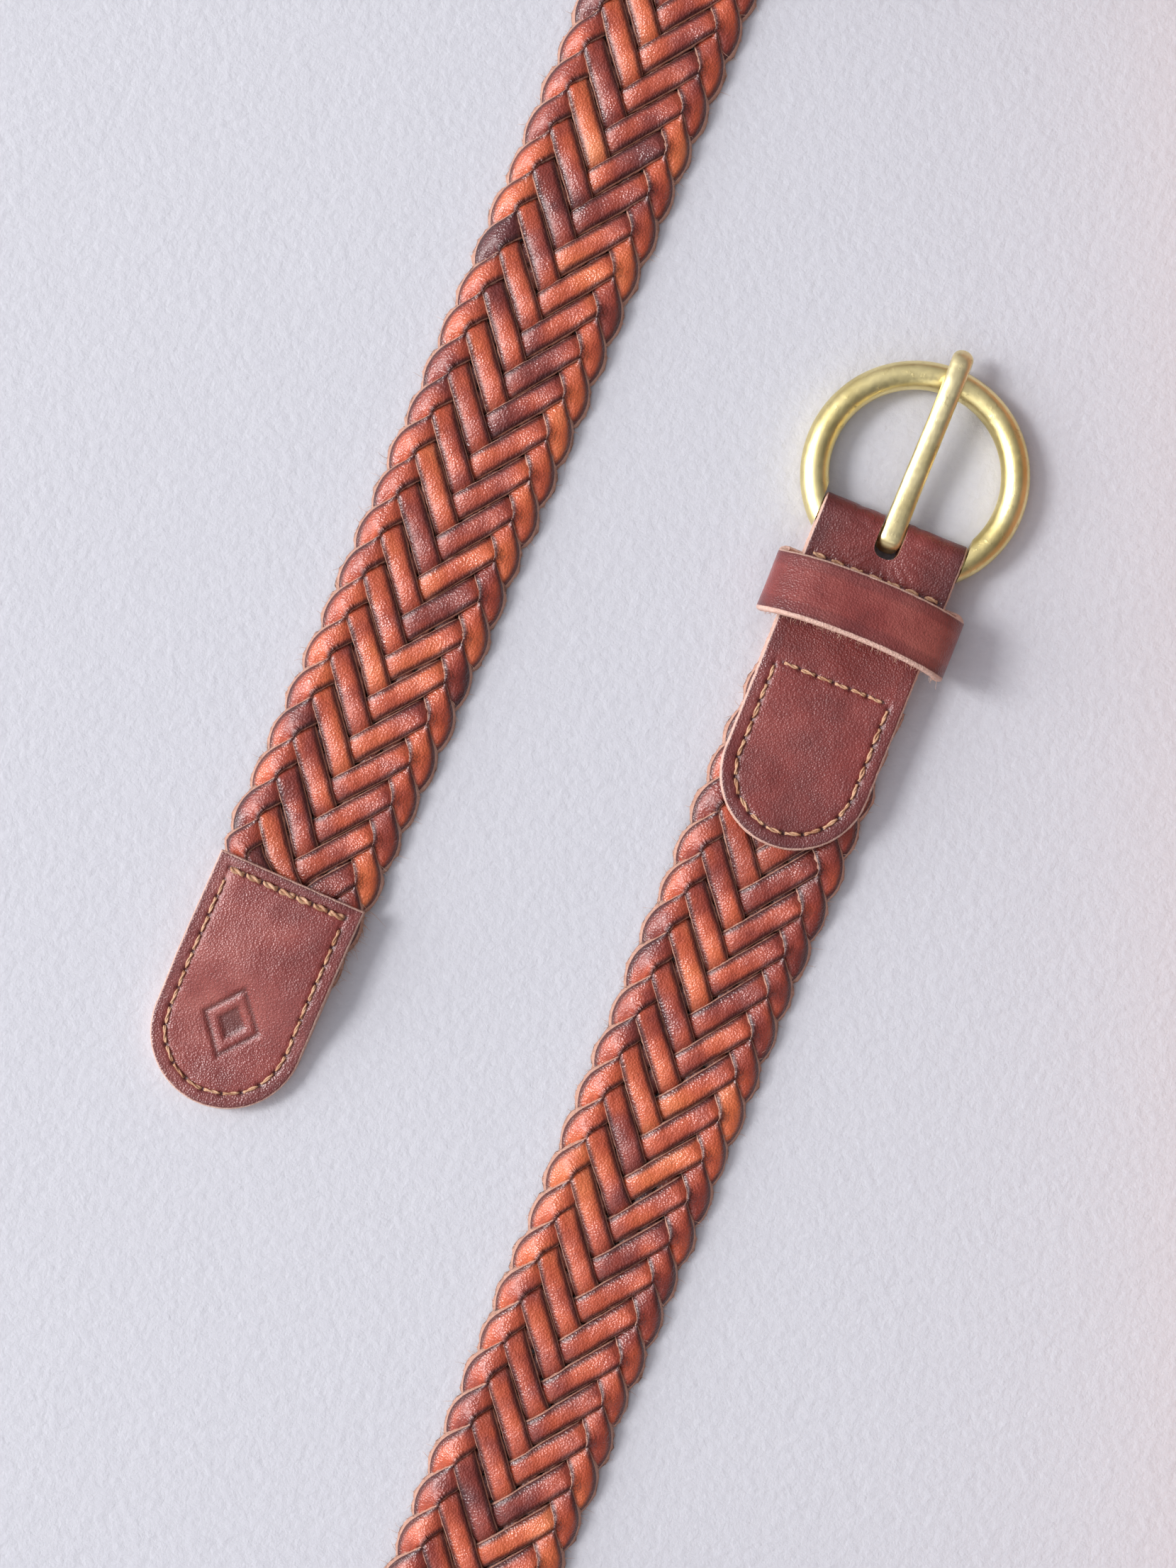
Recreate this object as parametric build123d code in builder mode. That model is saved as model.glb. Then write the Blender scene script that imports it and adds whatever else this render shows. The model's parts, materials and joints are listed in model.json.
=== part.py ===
from build123d import *
from math import cos, radians, sin
import os

# A braided leather belt lying face up in one open loop. Lengths in millimetres, angles in degrees.
# The buckle end and the tip end lie flat, side by side, along -Y. Between them the braid stands on
# its edge and runs round in an open loop, turning left all the way.

# --- leather ---
LEAF = 1.7                      # thickness of one leaf of the chape and of the tip
GAP = 3.7                       # room between the two leaves
FIT = 0.1                       # clearance round the braid's thinned ends
BACK_TOP = LEAF
FRONT_LOW = LEAF + GAP
FRONT_TOP = 2 * LEAF + GAP

# --- buckle ---
BAR_X = -23.3                   # where the bar stands in the belt's own box
BAR_Y = 56.8
BAR_R = 1.6
FOLD_INNER_R = GAP / 2
BAR_Z = LEAF + FOLD_INNER_R
ROD_R = 2.8                     # the ring's round section
RING_R = 19.45                  # to the middle of the rod
RING_OFFSET = 12.7              # ring's centre, beyond the bar
DROOP = 1.2                     # the ring leans down until its far side rests
PRONG_WIDTH = 4.1
PRONG_BORE_R = BAR_R + 0.08
PRONG_ROOT_R = 3.05

# --- chape ---
CHAPE_WIDTH = 29.2
CHAPE_LENGTH = 64.1             # bar's axis to the end of the D
SLOT_WIDTH = 4.9
SLOT_REACH = 5.4                # bar's axis to the end of the prong's slot
BAR_ROW = 8.5                   # bar's axis to the first row of stitches
CROSS_ROW = 30.6                # bar's axis to the second row of stitches

# --- keeper ---
KEEPER_BAND = 12.0              # width of the strip
KEEPER_THICK = 1.9
KEEPER_OUTER = 38.2
KEEPER_TOP = 16.6
KEEPER_LOW = LEAF + (GAP - KEEPER_THICK) / 2
KEEPER_START = 9.3              # bar's axis to its near edge
KEEPER_CORNER = 6.5
KEEPER_FOOT = 1.9               # inner radius at the two lower corners

# --- braid ---
BRAID_WIDTH = 31.0
BRAID_THICK = 4.4
NECK_THICK = GAP - 2 * FIT      # pressed between the leaves
NECK_START = 29.7               # bar's axis to the end of the braid
WEDGE = 12.0                    # where it comes down from between the leaves
CLEAR = 1.0                     # between the braid's changes of height and the leaves' ends

# --- route of the braid from the bar to the tip ---
BUCKLE_RUN = 224.0              # flat, straight, from the bar
TWIST_IN = 80.0                 # from flat to standing on edge
TWIST_IN_TURN = 111.6
LOW_RUN = 69.0
CORNER_R = 42.0
SIDE_RUN = 333.0
TWIST_OUT = 79.0                # from standing on edge to flat
TIP_HEADING = 269.3             # where the flat tip end sets off
TIP_RUN = 128.0
TIP_BEND_R = 2387.0
TIP_BEND = -1.2
TWIST_SPANS = 10

# --- tip ---
TIP_WIDTH = 30.0
TIP_LENGTH = 47.0
TIP_BEFORE = 21.0               # straight braid between the slight bend and the tip's mouth
TIP_ROW = 2.6                   # mouth to the bolder row of stitches
TIP_NECK = 18.0                 # how far the braid reaches into the tip
TIP_FLAT = 29.0                 # from here on the two leaves meet

# --- thread ---
THREAD = 0.8
STITCH = 2.7
PITCH = 3.85
BOLD_PITCH = 3.5
MARGIN = 2.9
STITCH_RISE = 0.4
ROW_INSET = 0.4                 # from the chape's side to the end of the bar row
U_GAP = 2.7                     # from a cross row to where the line round the end begins


def side_of(plane):
    """The upright plane through a strap plane's long axis: x along the strap, y up."""
    return Plane(origin=plane.origin, x_dir=plane.x_dir, z_dir=-plane.y_dir)


def across_of(plane, along):
    """The upright plane across the strap at a distance along it: x across, y up."""
    origin = plane.from_local_coords((along, 0, 0))
    return Plane(origin=origin, x_dir=plane.y_dir, z_dir=plane.x_dir)


def section_plane(x, y, heading, roll):
    """The plane across the strap where it is turned and tilted, its lower edge on the floor."""
    ahead, lean = radians(heading), radians(roll)
    across = (-sin(ahead) * cos(lean), cos(ahead) * cos(lean), sin(lean))
    height = BRAID_WIDTH / 2 * sin(lean) + BRAID_THICK / 2 * cos(lean)
    return Plane(origin=(x, y, height), x_dir=across, z_dir=(cos(ahead), sin(ahead), 0))


def twist_planes(x, y, heading, length, turn, roll_from, roll_to):
    """Section planes along a stretch that turns and twists, easing in and out of both."""
    planes = [section_plane(x, y, heading, roll_from)]
    steps_per_span = 20
    steps = TWIST_SPANS * steps_per_span
    for step in range(steps):
        middle = (step + 0.5) / steps
        ahead = radians(heading + turn * middle**2 * (3 - 2 * middle))
        x += cos(ahead) * length / steps
        y += sin(ahead) * length / steps
        if (step + 1) % steps_per_span == 0:
            t = (step + 1) / steps
            eased = t**2 * (3 - 2 * t)
            roll = roll_from + (roll_to - roll_from) * eased
            planes.append(section_plane(x, y, heading + turn * eased, roll))
    return planes


def end_outline(length, width, start=0.0):
    """A strap's round end, seen from above: x along the strap, y across it."""
    round_x = length - width / 2
    with Locations(((start + round_x) / 2, 0)):
        Rectangle(round_x - start, width)
    with Locations((round_x, 0)):
        Circle(width / 2)


def u_line(start, length, half_width):
    """The line of stitches down one side, round the end and back up the other side."""
    round_x = length - half_width
    with BuildLine(mode=Mode.PRIVATE) as line:
        Line((start, half_width), (round_x, half_width))
        ThreePointArc((round_x, half_width), (length, 0), (round_x, -half_width))
        Line((round_x, -half_width), (start, -half_width))
    return line.wire()


def cross_line(along, half_width):
    """A straight line of stitches across the strap."""
    with BuildLine(mode=Mode.PRIVATE) as line:
        Line((along, -half_width), (along, half_width))
    return line.wire()


def stitch_row(path, pitch, length):
    """Evenly spaced stitches along a flat path, each turned to follow it."""
    count = int((path.length - length) / pitch) + 1
    first = (path.length - (count - 1) * pitch) / 2
    for i in range(count):
        along = (first + i * pitch) / path.length
        angle = Vector(1, 0, 0).get_signed_angle(path.tangent_at(along), Vector(0, 0, 1))
        with Locations(Location(path.position_at(along), (0, 0, angle))):
            SlotOverall(length, THREAD)


def write(part, name):
    """Names a finished piece and writes its file."""
    part.label = name
    export_step(part, "parts/" + name + ".step")


os.makedirs("parts", exist_ok=True)

# Strap planes: x runs along the strap away from the buckle, y across it, z up.
bar_plane = Plane(origin=(BAR_X, BAR_Y, 0), x_dir=(0, -1, 0), z_dir=(0, 0, 1))
ring_plane = Plane(
    origin=(BAR_X, BAR_Y, BAR_Z),
    x_dir=(1, 0, 0),
    z_dir=(0, sin(radians(DROOP)), cos(radians(DROOP))),
)
ring_side = Plane(origin=ring_plane.origin, x_dir=ring_plane.y_dir, z_dir=ring_plane.x_dir)

# ---------------------------------------------------------------- buckle
RING_END_X = CHAPE_WIDTH / 2 + 0.35
BAR_ROOT = 0.8                  # how far the bar is cast into each end of the ring

with BuildPart() as buckle_frame:
    with BuildSketch(ring_side):
        with Locations((RING_OFFSET + RING_R, 0)):
            Circle(ROD_R)
    ring_axis = Axis(ring_plane.from_local_coords((0, RING_OFFSET, 0)), ring_plane.z_dir)
    revolve(axis=ring_axis)
    with BuildSketch(ring_plane.offset(-2 * ROD_R)):
        with Locations((0, -RING_OFFSET / 2)):
            Rectangle(2 * RING_END_X, 3 * RING_OFFSET)
    extrude(amount=4 * ROD_R, mode=Mode.SUBTRACT)
    with BuildSketch(ring_side.offset(-RING_END_X - BAR_ROOT)):
        Circle(BAR_R)
    extrude(amount=2 * (RING_END_X + BAR_ROOT))
write(buckle_frame.part, "buckle_frame")

with BuildPart() as prong:
    with BuildSketch(ring_side.offset(-PRONG_WIDTH / 2)):
        with BuildLine():
            top_flat = Line((0, PRONG_ROOT_R), (9, 3.3))
            top = Spline(top_flat @ 1, (15, 4.1), (24, 5.3), (31.5, 5.8), (35.8, 5.0), (38.0, 3.3))
            tip_round = ThreePointArc(top @ 1, (38.25, 2.4), (37.5, 2.0))
            under = Spline(tip_round @ 1, (35.6, 2.7), (32.4, 3.1), (27, 3.0), (20, 2.3), (9, 0.9))
            throat = Line(under @ 1, (2.8, -1.0))
            Line(throat @ 1, (0, -PRONG_ROOT_R))
            Line((0, -PRONG_ROOT_R), top_flat @ 0)
        make_face()
        Circle(PRONG_ROOT_R)
        Circle(PRONG_BORE_R, mode=Mode.SUBTRACT)
    extrude(amount=PRONG_WIDTH)
write(prong.part, "prong")

# ---------------------------------------------------------------- chape
with BuildPart() as chape:
    with BuildSketch(side_of(bar_plane).offset(-CHAPE_WIDTH / 2)):
        with Locations((0, BAR_Z)):
            Circle(FRONT_TOP / 2)
        with Locations((CHAPE_LENGTH / 2, BAR_Z)):
            Rectangle(CHAPE_LENGTH, FRONT_TOP)
        with Locations((0, BAR_Z)):
            Circle(FOLD_INNER_R, mode=Mode.SUBTRACT)
        with Locations((CHAPE_LENGTH / 2, BAR_Z)):
            Rectangle(CHAPE_LENGTH, GAP, mode=Mode.SUBTRACT)
    extrude(amount=CHAPE_WIDTH)
    with BuildSketch(bar_plane):
        end_outline(CHAPE_LENGTH, CHAPE_WIDTH, start=-FRONT_TOP)
    extrude(amount=FRONT_TOP, mode=Mode.INTERSECT)
    with BuildSketch(bar_plane):
        end_outline(SLOT_REACH, SLOT_WIDTH, start=-FRONT_TOP)
    extrude(amount=FRONT_TOP, mode=Mode.SUBTRACT)
write(chape.part, "chape")

stitch_half = CHAPE_WIDTH / 2 - MARGIN
with BuildPart() as bar_row_stitching:
    with BuildSketch(bar_plane.offset(FRONT_TOP)):
        stitch_row(cross_line(BAR_ROW, CHAPE_WIDTH / 2 - ROW_INSET), PITCH, STITCH)
    extrude(amount=STITCH_RISE)
write(bar_row_stitching.part, "bar_row_stitching")

with BuildPart() as chape_stitching:
    with BuildSketch(bar_plane.offset(FRONT_TOP)):
        stitch_row(cross_line(CROSS_ROW, stitch_half), PITCH, STITCH)
        stitch_row(u_line(CROSS_ROW + U_GAP, CHAPE_LENGTH - MARGIN, stitch_half), PITCH, STITCH)
    extrude(amount=STITCH_RISE)
write(chape_stitching.part, "chape_stitching")

# ---------------------------------------------------------------- keeper and its staple
keeper_mid_z = (KEEPER_TOP + KEEPER_LOW) / 2
keeper_middle = KEEPER_START + KEEPER_BAND / 2
STAPLE_LEG = 3.2                # from the butted ends to the middle of each leg
STAPLE_WIRE = 0.5
STAPLE_BAND = 1.2
BUTT_GAP = 0.3

with BuildPart() as keeper:
    with BuildSketch(across_of(bar_plane, KEEPER_START)):
        with Locations((0, keeper_mid_z)):
            Rectangle(KEEPER_OUTER, KEEPER_TOP - KEEPER_LOW)
        fillet(vertices().group_by(Axis.Y)[-1], KEEPER_CORNER)
        fillet(vertices().group_by(Axis.Y)[0], KEEPER_FOOT + KEEPER_THICK)
        offset(amount=-KEEPER_THICK, mode=Mode.SUBTRACT)
        with Locations((0, KEEPER_LOW + KEEPER_THICK / 2)):
            Rectangle(BUTT_GAP, KEEPER_THICK + 2 * STAPLE_WIRE, mode=Mode.SUBTRACT)
    extrude(amount=KEEPER_BAND)
    with BuildSketch(bar_plane):
        with Locations((keeper_middle, -STAPLE_LEG), (keeper_middle, STAPLE_LEG)):
            Rectangle(STAPLE_BAND, STAPLE_WIRE)
    extrude(amount=KEEPER_LOW + KEEPER_THICK + STAPLE_WIRE, mode=Mode.SUBTRACT)
write(keeper.part, "keeper")

staple_outer = 2 * STAPLE_LEG + STAPLE_WIRE
with BuildPart() as keeper_staple:
    with BuildSketch(across_of(bar_plane, keeper_middle - STAPLE_BAND / 2)):
        with Locations((0, KEEPER_LOW + KEEPER_THICK / 2)):
            Rectangle(staple_outer, KEEPER_THICK + 2 * STAPLE_WIRE)
            Rectangle(staple_outer - 2 * STAPLE_WIRE, KEEPER_THICK, mode=Mode.SUBTRACT)
        with Locations((0, KEEPER_LOW - STAPLE_WIRE / 2)):
            Rectangle(2 * BUTT_GAP, 2 * STAPLE_WIRE, mode=Mode.SUBTRACT)
    extrude(amount=STAPLE_BAND)
write(keeper_staple.part, "keeper_staple")

# ---------------------------------------------------------------- route
twist_in = twist_planes(BAR_X, BAR_Y - BUCKLE_RUN, -90, TWIST_IN, TWIST_IN_TURN, 0, 90)
edge_start = twist_in[-1]
with BuildLine() as edge_run:
    low_line = Line(edge_start.origin, edge_start.origin + edge_start.z_dir * LOW_RUN)
    low_corner = JernArc(low_line @ 1, low_line % 1, CORNER_R, 90)
    side_line = Line(low_corner @ 1, low_corner @ 1 + (low_corner % 1) * SIDE_RUN)
    high_corner = JernArc(side_line @ 1, side_line % 1, CORNER_R, 90)

edge_end = high_corner @ 1
edge_heading = -90 + TWIST_IN_TURN + 2 * 90
twist_out = twist_planes(
    edge_end.X, edge_end.Y, edge_heading, TWIST_OUT, TIP_HEADING - edge_heading, 90, 0
)
flat_start = twist_out[-1]
with BuildLine() as tip_run:
    tip_line = Line(flat_start.origin, flat_start.origin + flat_start.z_dir * TIP_RUN)
    bend = JernArc(tip_line @ 1, tip_line % 1, TIP_BEND_R, TIP_BEND)
    Line(bend @ 1, bend @ 1 + (bend % 1) * (TIP_BEFORE - WEDGE))

mouth = bend @ 1 + (bend % 1) * TIP_BEFORE
tip_plane = Plane(origin=(mouth.X, mouth.Y, 0), x_dir=bend % 1, z_dir=(0, 0, 1))

# ---------------------------------------------------------------- braid
NECK_LOW = LEAF + FIT
wedge_start = CHAPE_LENGTH + CLEAR
neck_mid_z = NECK_LOW + NECK_THICK / 2


# (strap plane, end of the braid, where the leaves end, where the braid meets the floor)
thinned_ends = [
    (bar_plane, NECK_START, wedge_start, wedge_start + WEDGE),
    (tip_plane, TIP_NECK, 0, -WEDGE),
]
with BuildPart() as braid:
    for plane, end, leaf_end, floor_end in thinned_ends:
        with BuildSketch(across_of(plane, end), across_of(plane, leaf_end)):
            with Locations((0, neck_mid_z)):
                Rectangle(BRAID_WIDTH, NECK_THICK)
        loft(ruled=True)
        with BuildSketch(across_of(plane, leaf_end)):
            with Locations((0, neck_mid_z)):
                Rectangle(BRAID_WIDTH, NECK_THICK)
        with BuildSketch(across_of(plane, floor_end)):
            with Locations((0, BRAID_THICK / 2)):
                Rectangle(BRAID_WIDTH, BRAID_THICK)
        loft(ruled=True)
    with BuildSketch(across_of(bar_plane, wedge_start + WEDGE)):
        with Locations((0, BRAID_THICK / 2)):
            Rectangle(BRAID_WIDTH, BRAID_THICK)
    extrude(amount=BUCKLE_RUN - wedge_start - WEDGE)
    for planes in (twist_in, twist_out):
        for near, far in zip(planes, planes[1:]):
            with BuildSketch(near, far):
                Rectangle(BRAID_WIDTH, BRAID_THICK)
            loft(ruled=True)
    with BuildSketch(edge_start):
        Rectangle(BRAID_WIDTH, BRAID_THICK)
    sweep(path=edge_run.wire())
    with BuildSketch(flat_start):
        Rectangle(BRAID_WIDTH, BRAID_THICK)
    sweep(path=tip_run.wire())
write(braid.part, "braid")

# ---------------------------------------------------------------- tip
with BuildPart() as tip_back:
    with BuildSketch(tip_plane):
        end_outline(TIP_LENGTH, TIP_WIDTH)
    extrude(amount=LEAF)
write(tip_back.part, "tip_back")


def front_profile(low, high):
    """A layer over the braid and down onto the back leaf, seen from the side."""
    bends = [
        (0, FRONT_LOW),
        (TIP_NECK + CLEAR, FRONT_LOW),
        (TIP_FLAT, BACK_TOP),
        (TIP_LENGTH, BACK_TOP),
    ]
    upper = [(along, z + high) for along, z in bends]
    lower = [(along, z + low) for along, z in reversed(bends)]
    return upper + lower


with BuildPart() as tip_front:
    with BuildSketch(side_of(tip_plane).offset(-TIP_WIDTH / 2)):
        with BuildLine():
            Polyline(*front_profile(0, LEAF), close=True)
        make_face()
    extrude(amount=TIP_WIDTH)
    with BuildSketch(tip_plane):
        end_outline(TIP_LENGTH, TIP_WIDTH)
    extrude(amount=FRONT_TOP, mode=Mode.INTERSECT)
write(tip_front.part, "tip_front")

tip_half = TIP_WIDTH / 2 - MARGIN
with BuildPart() as tip_stitching:
    with BuildSketch(side_of(tip_plane).offset(-TIP_WIDTH / 2)):
        with BuildLine():
            Polyline(*front_profile(LEAF, LEAF + STITCH_RISE), close=True)
        make_face()
    extrude(amount=TIP_WIDTH)
    with BuildSketch(tip_plane):
        stitch_row(cross_line(TIP_ROW, tip_half), BOLD_PITCH, STITCH)
        stitch_row(u_line(TIP_ROW + U_GAP, TIP_LENGTH - MARGIN, tip_half), PITCH, STITCH)
    extrude(amount=FRONT_TOP + STITCH_RISE, mode=Mode.INTERSECT)
write(tip_stitching.part, "tip_stitching")
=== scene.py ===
import json
import math

import bmesh
import bpy
import numpy as np
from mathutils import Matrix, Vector


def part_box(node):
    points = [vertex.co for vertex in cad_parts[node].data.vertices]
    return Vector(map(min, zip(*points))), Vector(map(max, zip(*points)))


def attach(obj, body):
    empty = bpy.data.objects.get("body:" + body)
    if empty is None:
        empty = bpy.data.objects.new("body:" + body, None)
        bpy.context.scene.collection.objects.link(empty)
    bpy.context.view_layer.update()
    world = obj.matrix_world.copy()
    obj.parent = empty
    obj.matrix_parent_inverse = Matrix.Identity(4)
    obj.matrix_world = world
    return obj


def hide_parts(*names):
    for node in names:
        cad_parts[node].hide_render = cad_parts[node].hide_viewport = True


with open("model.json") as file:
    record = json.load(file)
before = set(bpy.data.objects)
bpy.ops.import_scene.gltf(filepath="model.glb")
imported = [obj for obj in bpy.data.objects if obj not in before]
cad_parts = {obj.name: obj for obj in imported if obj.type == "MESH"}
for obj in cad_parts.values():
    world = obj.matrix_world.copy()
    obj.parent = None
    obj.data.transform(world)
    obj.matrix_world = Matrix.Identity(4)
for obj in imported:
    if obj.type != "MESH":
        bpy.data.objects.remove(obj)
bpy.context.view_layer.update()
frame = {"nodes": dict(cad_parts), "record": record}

# Lengths below are in millimetres and are turned into metres when a mesh is made.
MM = 0.001


def node_box(node):
    """A CAD node's lowest and highest corners, in millimetres."""
    low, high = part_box(node)
    return np.array(low) / MM, np.array(high) / MM


# ---- places, from the frame
JOINTS = {joint["name"]: joint for joint in frame["record"]["behaviour"]["joints"]}
BAR_X, BAR_Y, BAR_Z = (v / MM for v in JOINTS["buckle_swing"]["pos_m"])
CHAPE_LOW, CHAPE_HIGH = node_box("chape")
CHAPE_HALF = (CHAPE_HIGH[0] - CHAPE_LOW[0]) / 2
CHAPE_LENGTH = BAR_Y - CHAPE_LOW[1]
STACK = CHAPE_HIGH[2]  # both leaves and what is between them
LEAF = node_box("tip_back")[1][2]
GAP = STACK - 2 * LEAF
KEEPER_LOW, KEEPER_HIGH = node_box("keeper")

# ---- the belt's route, bar to tip
BRAID_HALF = 15.5
LOOP_PROUD = 0.7  # how far the loops' raw rims stand out of the braid
BRAID_THICK = 4.4
CORNER_R = 42.0
TIP_HEADING = 269.3
TIP_LENGTH = 47.0
TIP_HALF = 15.0
NECK_START = 29.7  # from the bar to the braid's end between the chape's leaves
TIP_NECK = 18.0  # how far the braid's other end reaches into the tip
WEDGE = 12.0  # the run over which it thins to fit between leaves
QUARTER = CORNER_R * math.pi / 2
ROUTE_SPARE = 2.0  # traced past the end of the tip
# each stretch: length, turn and roll at its end in degrees, and whether the turn is eased
STRETCHES = [
    (224.0, 0.0, 0.0, False),
    (80.0, 111.6, 90.0, True),
    (69.0, 0.0, 90.0, False),
    (QUARTER, 90.0, 90.0, False),
    (333.0, 0.0, 90.0, False),
    (QUARTER, 90.0, 90.0, False),
    (79.0, TIP_HEADING - 201.6, 0.0, True),
    (128.0, 0.0, 0.0, False),
    (50.0, -1.2, 0.0, False),
    (21.0 + TIP_LENGTH + ROUTE_SPARE, 0.0, 0.0, False),
]
ROUTE_STEP = 0.25
MOUTH = sum(stretch[0] for stretch in STRETCHES) - TIP_LENGTH - ROUTE_SPARE


def smooth_step(t):
    t = np.clip(t, 0, 1)
    return t * t * (3 - 2 * t)


def trace_route():
    """Heading, roll and place of the strap's middle line, sampled every ROUTE_STEP."""
    heading, roll = -90.0, 0.0
    headings, rolls = [], []
    for length, turn, roll_to, eased in STRETCHES:
        count = int(round(length / ROUTE_STEP))
        t = (np.arange(count) + 0.5) / count
        e = smooth_step(t) if eased else t
        headings.append(heading + turn * e)
        rolls.append(roll + (roll_to - roll) * e)
        heading, roll = heading + turn, roll_to
    headings = np.radians(np.concatenate(headings))
    rolls = np.radians(np.concatenate(rolls))
    x = BAR_X + np.concatenate([[0], np.cumsum(np.cos(headings))]) * ROUTE_STEP
    y = BAR_Y + np.concatenate([[0], np.cumsum(np.sin(headings))]) * ROUTE_STEP
    s = np.arange(len(x)) * ROUTE_STEP
    middle = s[:-1] + ROUTE_STEP / 2
    return {"s": s, "x": x, "y": y, "middle": middle, "heading": headings, "roll": rolls}


ROUTE = trace_route()


def near(distance, width):
    """1 at no distance, falling off evenly over the width."""
    return np.exp(-(distance / width) ** 2)


def squared(values, power):
    """Values from -1 to 1 raised to a power, with their signs; under 1 it squares a circle off."""
    return np.sign(values) * np.abs(values) ** power


def circle(count):
    """Evenly spaced angles all round."""
    return np.linspace(0, 2 * math.pi, count, endpoint=False)


def run_along(x, y):
    """Distance from the start of a line to each of its points."""
    return np.concatenate([[0], np.cumsum(np.hypot(np.diff(x), np.diff(y)))])


def neck_share(s):
    """1 where the braid is pressed between leaves, 0 where it is free."""
    at_buckle = 1 - smooth_step((s - CHAPE_LENGTH - 1) / WEDGE)
    at_tip = smooth_step((s - MOUTH + WEDGE) / WEDGE)
    return np.maximum(at_buckle, at_tip)


def strap_frame(s):
    """Middle point, across direction and grain normal of the strap at s, as arrays."""
    heading = np.interp(s, ROUTE["middle"], ROUTE["heading"])
    roll = np.interp(s, ROUTE["middle"], ROUTE["roll"])
    height = (BRAID_HALF + LOOP_PROUD) * np.sin(roll) + BRAID_THICK / 2 * np.cos(roll)
    height = height + neck_share(s) * (STACK / 2 - BRAID_THICK / 2)
    centre = np.stack([
        np.interp(s, ROUTE["s"], ROUTE["x"]), np.interp(s, ROUTE["s"], ROUTE["y"]), height
    ], axis=-1)
    left = np.stack([-np.sin(heading), np.cos(heading), np.zeros_like(heading)], axis=-1)
    up = np.zeros_like(left)
    up[..., 2] = 1
    c, w = np.cos(roll)[..., None], np.sin(roll)[..., None]
    return centre, left * c + up * w, up * c - left * w


FLOOR_SOFT = 0.3


def above_floor(points):
    """Bends what would pass under the floor softly back above it."""
    over = points[..., 2] - FLOOR_SOFT
    bent = FLOOR_SOFT * np.exp(np.minimum(over, 0) / FLOOR_SOFT)
    points[..., 2] = np.where(over < 0, bent, points[..., 2])
    return points


def on_strap(s, u, z):
    """Strap coordinates (along, across, out of the grain) to the part's frame."""
    centre, across, normal = strap_frame(s)
    centre[..., 1] -= np.minimum(s, 0)  # the fold lies beyond the bar
    return centre + across * u[..., None] + normal * z[..., None]


# ---- mesh helpers
def add_object(name, data):
    """A new object with this mesh, camera or lamp, linked into the scene."""
    thing = bpy.data.objects.new(name, data)
    bpy.context.scene.collection.objects.link(thing)
    return thing


def closed_mesh(name, verts, faces, materials):
    """An object of points in millimetres, its faces turned outward, linked into the scene."""
    mesh = bpy.data.meshes.new(name)
    mesh.from_pydata((np.asarray(verts, dtype=float) * MM).tolist(), [], faces)
    shell = bmesh.new()
    shell.from_mesh(mesh)
    bmesh.ops.recalc_face_normals(shell, faces=shell.faces)
    shell.to_mesh(mesh)
    shell.free()
    for material in materials:
        mesh.materials.append(material)
    return add_object(name, mesh)


def make_object(name, verts, faces, materials, body):
    """A smooth piece that rides on a body, with the materials it is given."""
    piece = closed_mesh(name, verts, faces, materials)
    piece.data.polygons.foreach_set("use_smooth", [True] * len(piece.data.polygons))
    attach(piece, body)
    return piece


def point_value(piece, name, values):
    """Stores one number per vertex, for the material to read."""
    layer = piece.data.attributes.new(name, "FLOAT", "POINT")
    layer.data.foreach_set("value", np.asarray(values, dtype=np.float32).ravel())


def tube_faces(rings, around, start=0, closed_ends=True):
    """Quads of a tube of rings, numbered from start, with its two ends closed."""
    i = np.arange(rings - 1)[:, None]
    j = np.arange(around)[None, :]
    k = (j + 1) % around
    quads = np.stack([
        i * around + j, i * around + k, (i + 1) * around + k, (i + 1) * around + j
    ], axis=-1)
    faces = (quads.reshape(-1, 4) + start).tolist()
    if closed_ends:
        faces.append([start + n for n in reversed(range(around))])
        last = start + (rings - 1) * around
        faces.append([last + n for n in range(around)])
    return faces


# ---- braid
STRANDS = 9
PLAIT_STEP = 8.505  # along the strap from one strand to the next
PERIOD = STRANDS * PLAIT_STEP
LEG_HALF = 15.0  # where two straight legs would meet
TURN_R = 6.0
STRAND_HALF = 2.48
STRAND_THICK_HALF = 0.92
LEG_SLOPE = math.atan(4 * LEG_HALF / PERIOD)
TURN_APEX = LEG_HALF - TURN_R * (1 / math.cos(LEG_SLOPE) - 1)
LEFT_ON_TOP = (1, 5, 6, 7)  # crossings where the left-going leg is on top
RING_STEP = 0.8
PLAIT_PHASE = 2.2
END_CLEAR = 0.6  # the strands stop this much short of the CAD braid's ends
TURN_START = 9.5  # across the strap, where a leg begins to turn
CHAPE_PINCH = 0.05  # how much the leaves squeeze the braid's width
TIP_PINCH = 0.085
TIP_SHIFT = 0.9  # and it sits a little to one side in the tip
NECK_SQUASH = 0.24  # and how much flatter it is between leaves
LOOP_CURL = 0.35  # how far a loop's outer rim rolls down
WIDTH_VARIES = 0.02  # unevenness, as a share of the width
STRAND_SWAY = 0.14  # and sideways
STRAND_LIFT = 0.05  # and up and down
FRAYED = 0.025  # and of a cut rim, as a share of the width
LANES = np.linspace(-1, 1, 9)


def zigzag(s):
    """A strand's middle line across the strap: straight legs with round turns."""
    phase = np.mod(s / PERIOD, 1)
    from_turn = (0.5 - np.abs(phase - 0.5)) * PERIOD  # distance from the left-hand turn
    to_turn = PERIOD / 2 - from_turn
    u = -LEG_HALF + from_turn * math.tan(LEG_SLOPE)
    reach = TURN_R * math.sin(LEG_SLOPE)
    for distance, side in ((from_turn, -1), (to_turn, 1)):
        bulge = TURN_APEX - TURN_R + np.sqrt(np.maximum(TURN_R**2 - distance**2, 0))
        u = np.where(distance < reach, side * bulge, u)
    return u


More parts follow.
